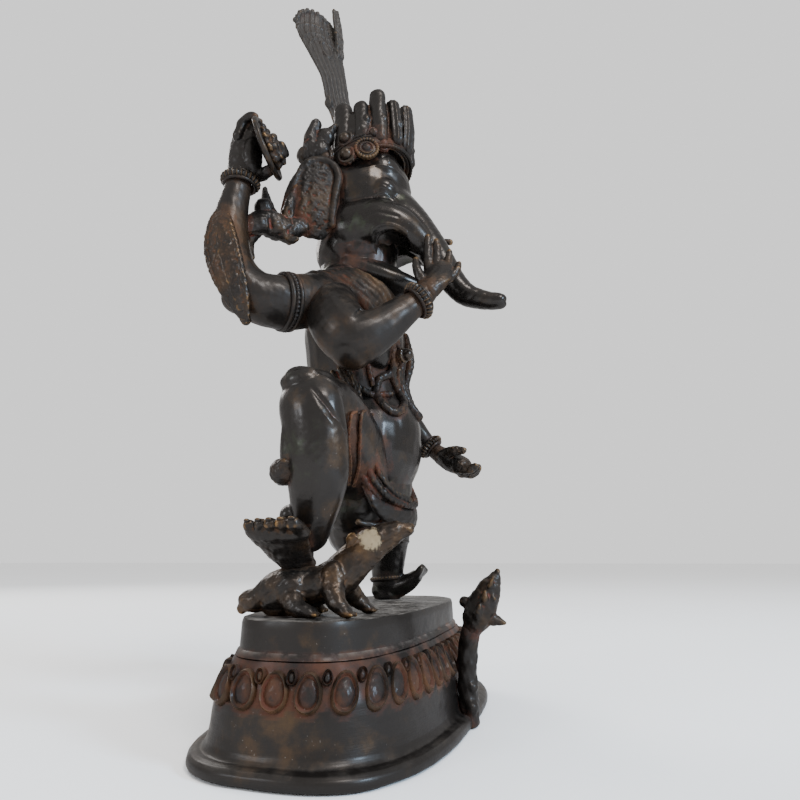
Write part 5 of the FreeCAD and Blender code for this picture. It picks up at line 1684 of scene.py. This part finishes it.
@dataclass
class Head:
    """The elephant's head with its ears, tusk, crown and plume."""

    shop: Workshop
    band_centre: Point = (0.0, 3.0, 238.5)
    band_axis: Point = (0.0, 0.355, 0.935)

    def build_skull(self) -> None:
        """Skull, trunk and dropped jaw in one skin, with the open mouth, eyes and wrinkles."""
        head = Clay("head_skin", 0.62, 8)
        head.add(blob((0, 5, 222), (25.2, 27, 28)), blob((0, -7, 226), (19, 15.5, 18)))
        head.add(blob((-8.5, -8.0, 231), (12, 11.6, 12)), blob((8.5, -8.0, 231), (12, 11.6, 12)))
        head.add(limb([
            (0, 12, 190, 22, 20), (0, 3, 199, 24, 21.6), (0, -9, 205, 20.6, 17),
            (0, -19, 205, 14.6, 12),
        ]))
        trunk = [
            (0, -8, 217, 16, 14), (0, -20, 206, 13.2, 11.6), (0, -30, 193, 10.2, 9.6),
            (0, -39, 178, 8.6, 8.2), (0, -46, 165, 7.5, 7.1), (0, -53, 156.4, 6.5, 6.2),
            (0, -62, 152, 5.4, 5.1), (0, -70.2, 150.2, 4.6, 4.4),
        ]
        head.add(limb(trunk, segments=32, rings=90))
        jaw = [
            (0, 8, 176, 19, 13), (0, -5, 170.6, 17.4, 9.6), (0, -14, 167.4, 14.4, 7.6),
            (0, -22, 165.6, 9.6, 5.6),
        ]
        head.add(
            limb(jaw + [(0, -28.0, 164.6, 3.8, 3.2)], segments=32, rings=60),
            blob((0, 4, 186), (21, 16, 15)),
        )
        for side in (-1, 1):
            head.add(blob((side * 12.4, -10, 217), (8.6, 9.4, 8.0), (0, 0, side * 20)))
            cheek = [
                (16, 6, 198, 9.0, 15), (15.4, -8, 198, 9.4, 13), (11.4, -21, 194, 8.4, 10.6),
                (7.0, -31, 186, 5.6, 7.0),
            ]
            head.add(limb([(side * x, y, z, w, t) for x, y, z, w, t in cheek]))
            head.dig(blob((side * 14.6, -17.4, 182.6), (11.0, 9.4, 7.2), (19, 0, 0)))
        skin = head.fire(self.face_lines, self.trunk_rings, cast_skin(0.12, 14.0, 71))
        self.shop.finish(skin, Finish.BELLY, "dark_brass", ["head", "elephant_trunk", "lower_jaw"])
        tusk = Clay("tusk_skin", 0.4, 3)
        tusk.add(limb([(9, -18, 198, 2.8, 2.8), (13, -32, 197, 2.4, 2.4), (15, -42, 196.4, 1.8, 1.8)]))
        tusk.add(hoop((10.8, -24, 197.6), (0.25, -1, -0.07), 2.5, 0.8))
        self.shop.finish(tusk.fire(cast_skin(0.1, 3.0, 72)), Finish.WORN, "dark_brass", ["tusk"])

    @staticmethod
    def face_lines(points: np.ndarray, normals: np.ndarray) -> np.ndarray:
        """Narrow eyes between lids, crow's feet, a brow line and the mark on the forehead.

        Args:
            points: the skin's points, in millimetres.
            normals: their normals, unused.

        Returns:
            How far each point moves out, in millimetres.
        """
        y, z = points[:, 1], points[:, 2] - PLINTH_TOP
        along, over = (y + 13.6) * -0.93 + (z - 210) * -0.36, (y + 13.6) * -0.36 + (z - 210) * 0.93
        ball = 0.8 * np.exp(-((along / 3.6) ** 2) - (over / 1.5) ** 2) * (np.abs(points[:, 0]) > 8)
        lids = side_line(points, [(-8.6, 211.9), (-12, 213.0), (-15.6, 211.4), (-18.8, 208.0)], 0.5, -0.5)
        lids += side_line(
            points, [(-8.6, 211.6), (-11.4, 209.2), (-15.2, 207.4), (-18.8, 207.8)], 0.45, -0.4,
        )
        lines = side_line(
            points, [(-8.8, 213.4), (-12.4, 214.9), (-16.6, 213.2), (-20, 209.4)], 0.5, 0.32,
        )
        lines += side_line(
            points, [(-9.6, 216.0), (-13.2, 217.2), (-17.8, 215.2), (-21.4, 211.0)], 0.45, 0.22,
        )
        for step in range(3):
            lines += side_line(
                points, [(-14.5 - step * 2.1, 206.4), (-17.5 - step * 2.0, 203.2)], 0.45, 0.22,
            )
            lines += side_line(
                points, [(-8.4, 210.4 - step * 1.6), (-4.6, 209.6 - step * 2.8)], 0.45, 0.2,
            )
        lines += side_line(points, [(-1, 226), (-9, 229.4), (-17, 229.6), (-24, 226)], 0.8, -0.35)
        lines += side_line(points, [(-12, 236), (-15.4, 240.0), (-19.0, 236.6)], 0.6, -0.55, 2.0)
        lines += side_line(points, [(-15, 236.6), (-15.6, 232.4)], 0.6, -0.45, 2.0)
        lines += side_line(points, [(-4, 196), (-12, 198.6), (-22, 196)], 0.8, 0.45)
        dy, dz = y + 17.4, z - 182.6
        lip = np.hypot((0.945 * dy + 0.326 * dz) / 11.0, (0.945 * dz - 0.326 * dy) / 8.8)
        rim = 0.6 * np.exp(-(((lip - 1.02) / 0.10) ** 2)) * (np.abs(points[:, 0]) > 5) * (y > -26)
        return ball + lids + lines + rim

    @staticmethod
    def trunk_rings(points: np.ndarray, normals: np.ndarray) -> np.ndarray:
        """Soft creases across the trunk, and the nostril at its blunt end.

        Args:
            points: the skin's points, in millimetres.
            normals: their normals, unused.

        Returns:
            How far each point moves out, in millimetres.
        """
        y, z = points[:, 1], points[:, 2] - PLINTH_TOP
        along = (-y - 8) * 0.62 + (222 - z) * 0.78
        share = np.clip((-y - 24) / 10, 0, 1) * np.clip((np.abs(points[:, 0]) < 12) * 1.0, 0, 1)
        creases = -0.13 * share * np.clip(np.sin(along * 1.5 + 0.5 * lumpy(points, 9.0, 73)), 0.1, 1)
        return creases + groove_line(points, [(-1.6, -74.6, 150), (1.6, -74.6, 150)], 1.0, 1.2)

    def build_ear(self, side: Side) -> None:
        """A broad fanned ear: a pitted, grooved leaf inside a curled rim.

        Args:
            side: which ear it is.
        """
        name = side.name.lower()
        ear = Clay(f"ear_{name}_skin", 0.5, 3)
        rows = [
            (26, 17, 231, 6.0, 2.6), (28.2, 18.8, 226.5, 9.6, 3.4), (29.2, 20, 217, 11.8, 4.0),
            (29.2, 21.6, 206, 13.0, 4.2), (28.8, 23.2, 197, 12.6, 3.9), (28.0, 25.2, 190.5, 9.0, 3.2),
        ]
        ear.add(limb(side.place(rows), (side.value * 0.6, 0.8, 0)))
        rim = [
            (35.0, 28.5, 223), (33.6, 24.6, 229), (30.2, 19, 231.6), (27.4, 13, 229.0),
            (26.4, 10.0, 222), (26.6, 11.4, 213),
        ]
        ear.add(strand(side.place(rim + [(25.6, 13.4, 203), (24.6, 14.0, 195)]), 2.4, rings=80))
        back = [(35, 28.5, 223), (37.0, 32, 214), (37.8, 34.4, 204), (36.6, 36, 195), (34, 36, 190)]
        ear.add(strand(side.place(back), 2.3, rings=60))
        lobe = [(33, 28, 192, 5.4, 2.6), (35, 34, 189.4, 4.4, 2.4), (36, 40, 187.6, 2.0, 1.6)]
        ear.add(limb(side.place(lobe), (0, 0, 1)))
        sign = side.value

        def relief(points: np.ndarray, normals: np.ndarray) -> np.ndarray:
            """Grooves down the leaf, deepest in the middle, with pits between them.

            Args:
                points: the skin's points, in millimetres.
                normals: their normals, unused.

            Returns:
                How far each point moves out, in millimetres.
            """
            local = points * [sign, 1, 1]
            inside = np.clip((local[:, 1] - 13) / 3, 0, 1) * np.clip((34 - local[:, 1]) / 3, 0, 1)
            inside = inside * np.clip((232 + PLINTH_TOP - local[:, 2]) / 4, 0, 1)
            fan = (local[:, 1] - 19) / (1.0 + 0.018 * (PLINTH_TOP + 232 - local[:, 2]))
            ribs = 0.26 * np.sin(fan * 1.7 + 0.6 * lumpy(points, 10.0, 74))
            ribs = ribs * np.clip((local[:, 1] - 20) / 5, 0.2, 1)
            worn = np.clip((29 - local[:, 1]) / 4, 0, 1)
            return inside * (ribs - 0.6 * np.clip(lumpy(points, 3.6, 75) * 1.3 - 0.1, 0, 1) * worn)

        skin = ear.fire(relief, cast_skin(0.14, 4.0, 76))
        self.shop.finish(skin, Finish.POCKED, "dark_brass", [f"ear_{name}"])

    def build_band(self) -> None:
        """The diadem band with its beaded edges, jewels in cups and the beaded medallions."""
        axis, centre = np.array(self.band_axis), np.array(self.band_centre)
        band = [hoop(centre + axis * 1.5, axis, 24.6, 1.7, tall=2.6)]
        for shift, wire, knobs in ((-3.2, 1.15, 78), (6.0, 1.15, 78), (4.2, 0.7, 0), (-1.4, 0.7, 0)):
            band.append(hoop(centre + axis * shift, axis, 26.0, wire, knobs))
        self.shop.finish(join(band, "crown_band_ring"), Finish.POCKED, "dark_brass", ["crown_band"], 70.0)
        jewels, cups = [], []
        for x, y, z, radius in (
            (26, 18, 236, 3.9), (27.4, 5.5, 234.6, 4.3), (26.4, 7, 245.8, 3.9), (22, -8.4, 249, 3.2),
        ):
            jewels.append((x, y, z, radius))
        jewels.append((18.6, -13.0, 243.4, 3.2))
        for side in Side:
            for x, y, z, radius in jewels:
                out = np.array([x, y - 3, 0.0])
                out /= np.linalg.norm(out)
                spot = np.array([x, y, z]) * [side.value, 1, 1]
                facing = out * [side.value, 1, 1]
                cups.append(blob(spot, (radius * 0.82,) * 3))
                cups.append(hoop(spot - facing * 0.6, facing, radius * 0.98, radius * 0.26))
                cups.append(hoop(spot - facing * 1.6, facing, radius * 1.05, radius * 0.34, 12))
        self.shop.finish(join(cups, "crown_jewels"), Finish.JEWEL, "dark_brass", ["crown_bosses"], 70.0)
        discs = []
        for side in Side:
            spot = np.array([side.value * 25.2, -5.6, 237.4])
            facing = np.array([side.value * 0.93, -0.36, 0.08])
            facing = facing / np.linalg.norm(facing)
            disc = Clay("disc", 0.4, 2)
            disc.add(hoop(spot - facing * 1.0, facing, 3.4, 3.2, tall=0.5), blob(spot, (2.6, 2.6, 2.6)))
            discs.append(disc.fire())
            discs.append(hoop(spot + facing * 0.4, facing, 5.9, 1.15, 22))
            discs.append(hoop(spot + facing * 0.6, facing, 3.4, 0.6))
        self.shop.finish(
            join(discs, "crown_medallion_discs"), Finish.PIGMENT, "dark_brass", ["crown_medallions"],
            70.0,
        )

    def build_crown(self) -> None:
        """The ring of thick round-topped leaves, the front ones reeded, and the hair within."""
        leaves = [
            (18, 11, 276.4, 5.9), (19.6, -0.4, 274.2, 4.8), (17.0, -9.2, 281.8, 5.1),
            (11.2, -16.6, 277.6, 4.9),
        ]
        lumps = [hoop((0, 3, 254), (0, 0.12, 1), 20.4, 2.6, tall=4.6)]
        for side in Side:
            for number, (x, y, top, radius) in enumerate(leaves):
                foot = self.band_centre[2] + 4.5 - 0.38 * (y - 3)
                rows = [(x * 1.04, y - 1, foot, radius * 1.08, radius * 0.9)]
                rows.append((x, y, foot + 0.45 * (top - foot), radius * 1.06, radius * 0.92))
                rows += [(x * 0.96, y + 1, top - radius, radius * 0.96, radius * 0.88)]
                ripple = self.reeds if number == 3 else self.plain
                lumps.append(limb(side.place(rows), (side.value * 0.5, -0.8, 0), 40, 40, ripple))
                lower = (radius * 0.62, radius * 0.6, radius * 0.8)
                lumps.append(blob((x * side.value * 1.12, y - 1.0, 253), lower))
                upper = (radius * 0.5, radius * 0.5, radius * 0.6)
                lumps.append(blob((x * side.value * 1.10, y - 3.4, 259), upper))
        rows = [(0, -20.6, 252, 6.2, 4.4), (0, -21.2, 263, 6.2, 4.6), (0, -20.4, 276.4, 5.2, 4.2)]
        lumps.append(limb(rows, (1, 0, 0), 40, 40, self.reeds))
        ring = Clay("crown_leaf_ring", 0.45, 1)
        ring.add(*lumps)
        skin = ring.fire(cast_skin(0.14, 5.0, 77))
        self.shop.finish(skin, Finish.DARK, "dark_brass", ["crown_leaves"])
        hair = Clay("crown_cap_skin", 0.6, 3)
        hair.add(blob((0, 6, 246), (19.6, 19.6, 20)))

        def locks(points: np.ndarray, normals: np.ndarray) -> np.ndarray:
            """Combed locks drawn up to the top of the hair."""
            turn = np.arctan2(points[:, 0], points[:, 1] - 6)
            return 0.7 * np.abs(np.sin(turn * 11)) * np.clip(
                (np.hypot(points[:, 0], points[:, 1] - 6) - 2) / 6, 0, 1,
            )

        self.shop.finish(hair.fire(locks), Finish.DARK, "dark_brass", ["crown_cap"])

    @staticmethod
    def reeds(around: np.ndarray, along: np.ndarray) -> np.ndarray:
        """Upright reeding round a leaf."""
        return 1 - 0.16 * np.abs(np.cos(around * 4.5))

    @staticmethod
    def plain(around: np.ndarray, along: np.ndarray) -> np.ndarray:
        """A faint unevenness round a leaf."""
        return 1 + 0.03 * np.sin(around * 3 + along * 0.3)

    def build_ribbon(self, side: Side) -> None:
        """The knotted ribbon end that stands up behind an ear.

        Args:
            side: which ribbon it is.
        """
        name = side.name.lower()
        knot = Clay(f"side_ribbon_{name}_skin", 0.45, 3)
        rows = [
            (20, 20, 234, 5, 5), (25.6, 25.6, 240, 5.6, 5.6), (27, 27, 249, 4.6, 4.2),
            (26.4, 25.8, 255, 3.6, 3.4),
        ]
        knot.add(
            limb(side.place(rows + [(26, 24.8, 259, 3.4, 3.2)])),
            blob(side.spot(27, 30, 239), (4.8, 5.0, 5.4)),
        )
        knot.add(
            blob(side.spot(25, 22, 241), (6, 6.4, 7)), blob(side.spot(24.5, 19.5, 250), (4.6, 5.2, 6)),
        )
        knot.add(limb(side.place([
            (26, 22, 246, 3.6, 3.6), (24.6, 17.4, 252, 3.0, 3.0), (24, 14.4, 257, 1.6, 1.6),
        ])))
        lines = [
            [(side.value * 33, 24, 247), (side.value * 32, 31, 245)],
            [(side.value * 32, 22, 241), (side.value * 33, 31, 234)],
        ]
        skin = knot.fire(grooves(lines, 1.2, 1.3), cast_skin(0.22, 4.0, 78))
        self.shop.finish(skin, Finish.PIGMENT, "dark_brass", [f"side_ribbon_{name}"])

    def build_plume(self) -> None:
        """The dusty fan-topped plume: a long reeded blade with an eye, arcs and a toothed top."""
        plume = Clay("plume_skin", 0.5, 2)
        rows = [
            (0, 15, 256, 6.4, 2.4), (0, 18, 274, 7.6, 2.2), (0, 22.6, 291, 8.8, 2.0),
            (0, 26.6, 312, 9.6, 2.0), (0, 32.4, 330, 13.4, 2.0), (0, 37.4, 346, 16.6, 1.9),
            (0, 39.4, 357, 15.6, 1.8), (0, 39.0, 364, 11.0, 1.6),
        ]
        plume.add(limb(rows, (-0.76, 0.64, 0), 44, 110))
        strip = [
            (8.0, 26.6, 336, 3.2, 1.9), (7.2, 27, 350, 3.4, 1.9), (6.0, 28, 362, 3.3, 1.8),
            (5.0, 29.4, 371, 2.7, 1.5),
        ]
        plume.add(limb(strip, (-0.76, 0.64, 0)), blob((-6.6, 26.4, 290), (2.6, 2.8, 4.6)))
        for number in range(9):
            turn = math.radians(58 + number * 14)
            u, z = -2.5 + 13.6 * math.cos(turn), 350 + 15.4 * math.sin(turn)
            plume.add(blob((-0.76 * -u, 38.6 + 0.64 * -u, z), (2.1, 2.1, 2.6)))
        skin = plume.fire(self.barbs, cast_skin(0.12, 5.0, 79))
        self.shop.finish(skin, Finish.DUSTY, "dusty_brass", ["plume"])

    @staticmethod
    def barbs(points: np.ndarray, normals: np.ndarray) -> np.ndarray:
        """Long grooves that fan out above, two arcs and the sunk eye, on both faces.

        Args:
            points: the skin's points, in millimetres.
            normals: their normals, unused.

        Returns:
            How far each point moves out, in millimetres.
        """
        z = points[:, 2] - PLINTH_TOP
        middle = np.interp(z, [256, 291, 312, 331, 347, 364], [15, 22.6, 26.6, 32.4, 37.4, 39.4])
        half = np.interp(z, [256, 291, 312, 331, 347, 364], [6.4, 8.8, 9.6, 13.4, 16.6, 14.0])
        u = (points[:, 0] * -0.76 + (points[:, 1] - middle) * 0.64) / half
        vanes = -0.55 * np.abs(np.sin(u * 10.5 + 0.35 * lumpy(points, 14.0, 80))) ** 3
        vanes -= 0.3 * np.abs(np.sin(u * 25.0)) ** 4 * (z > 330)
        eye_u, eye_z = (u * half + 0.5) / 2.3, (z - 336) / 4.6
        away = np.hypot(eye_u, eye_z)
        vanes = np.where(away < 1.6, 0, vanes)
        eye = 0.7 * np.exp(-(((away - 1.35) / 0.25) ** 2)) - 0.6 * np.exp(-((away / 0.7) ** 2))
        far = np.hypot(u * half, (z - 332) * 0.9)
        for radius, tall in ((11.0, 0.55), (15.0, 0.45), (21.0, 0.5)):
            eye += tall * np.exp(-(((far - radius) / 0.6) ** 2)) * (z > 336)
        return vanes + eye

    def build(self) -> None:
        """Builds the head, the crown and the plume."""
        self.build_skull()
        for side in Side:
            self.build_ear(side)
            self.build_ribbon(side)
        self.build_band()
        self.build_crown()
        self.build_plume()


# ---- studio ----
@dataclass
class Studio:
    """The camera, a pale floor and soft lights."""

    eye: Point = (-0.29674, -0.10731, 0.07095)
    forward: Point = (0.92569, 0.28236, 0.25174)
    lens_mm: float = 27.72

    def build(self) -> None:
        """Sets up everything that is not the statue."""
        self.build_floor()
        self.build_lights()
        self.build_camera()

    def build_floor(self) -> None:
        """A wide pale floor, not tied to the statue."""
        deselect()
        bpy.ops.mesh.primitive_plane_add(size=30.0, location=(0, 0, -0.0005))
        floor = bpy.context.view_layer.objects.active
        floor.name = "studio_floor"
        g = Graph("studio_paper")
        place = g.node("ShaderNodeTexCoord", output="Object")
        tone = g.mix(g.noise(place, 3.0), (0.86, 0.86, 0.86, 1.0), (0.9, 0.9, 0.9, 1.0))
        paper = g.node("ShaderNodeBsdfPrincipled", {}, {"Base Color": tone, "Roughness": 0.9})
        g.node("ShaderNodeOutputMaterial", {}, {"Surface": paper})
        floor.data.materials.append(g.material)
        world = bpy.data.worlds.new("studio_air")
        world.use_nodes = True
        world.node_tree.nodes["Background"].inputs[0].default_value = (1.0, 1.0, 1.0, 1.0)
        world.node_tree.nodes["Background"].inputs[1].default_value = 1.15
        bpy.context.scene.world = world

    def build_lights(self) -> None:
        """A big soft key from the upper front, a cool window at the side and a rim from behind."""
        rows = (
            ("key", (-0.9, -0.9, 1.5), 0.5, 26.0, (1.0, 0.97, 0.94)),
            ("window", (-0.45, -1.4, 0.75), 0.32, 30.0, (0.55, 0.76, 1.0)),
            ("side", (-1.3, 0.9, 0.6), 0.4, 8.0, (0.85, 0.92, 1.0)),
            ("rim", (0.6, 1.2, 1.0), 0.6, 12.0, (1.0, 1.0, 1.0)),
        )
        for name, place, size, power, colour in rows:
            deselect()
            bpy.ops.object.light_add(type="AREA", location=place)
            lamp = bpy.context.view_layer.objects.active
            lamp.name = f"{name}_light"
            lamp.data.size = size
            lamp.data.energy = power
            lamp.data.color = colour
            aim = Vector((0.0, 0.0, 0.22)) - Vector(place)
            lamp.rotation_euler = aim.to_track_quat("-Z", "Y").to_euler()

    def build_camera(self) -> None:
        """The one camera of the scene."""
        deselect()
        bpy.ops.object.camera_add(location=self.eye)
        camera = bpy.context.view_layer.objects.active
        camera.name = "main_camera"
        camera.rotation_euler = Vector(self.forward).to_track_quat("-Z", "Y").to_euler()
        camera.data.lens = self.lens_mm
        camera.data.sensor_width = 36.0
        camera.data.clip_start = 0.01
        bpy.context.scene.camera = camera


def dress_rivets(shop: Workshop) -> None:
    """Gives the washers under the plinth, whose shape is right as it is, the pedestal's finish.

    Args:
        shop: the workshop that keeps the materials.
    """
    washers = bpy.data.objects["tang_rivets"]
    if Finish.SKIRT not in shop.materials:
        shop.materials[Finish.SKIRT] = Finish.SKIRT.value.make()
    washers.data.materials.clear()
    washers.data.materials.append(shop.materials[Finish.SKIRT])
    LOG.info("tang_rivets: material only")


def main() -> None:
    """Builds the statue from the ground up, then the studio."""
    logging.basicConfig(level=logging.INFO, format="%(name)s %(message)s")
    shop = Workshop()
    Pedestal(shop).build()
    Rat(shop).build()
    Legs(shop).build()
    Body(shop).build()
    Arms(shop).build()
    Head(shop).build()
    dress_rivets(shop)
    wear_marks(shop.pieces)
    Studio().build()


if __name__ == "__main__":
    main()
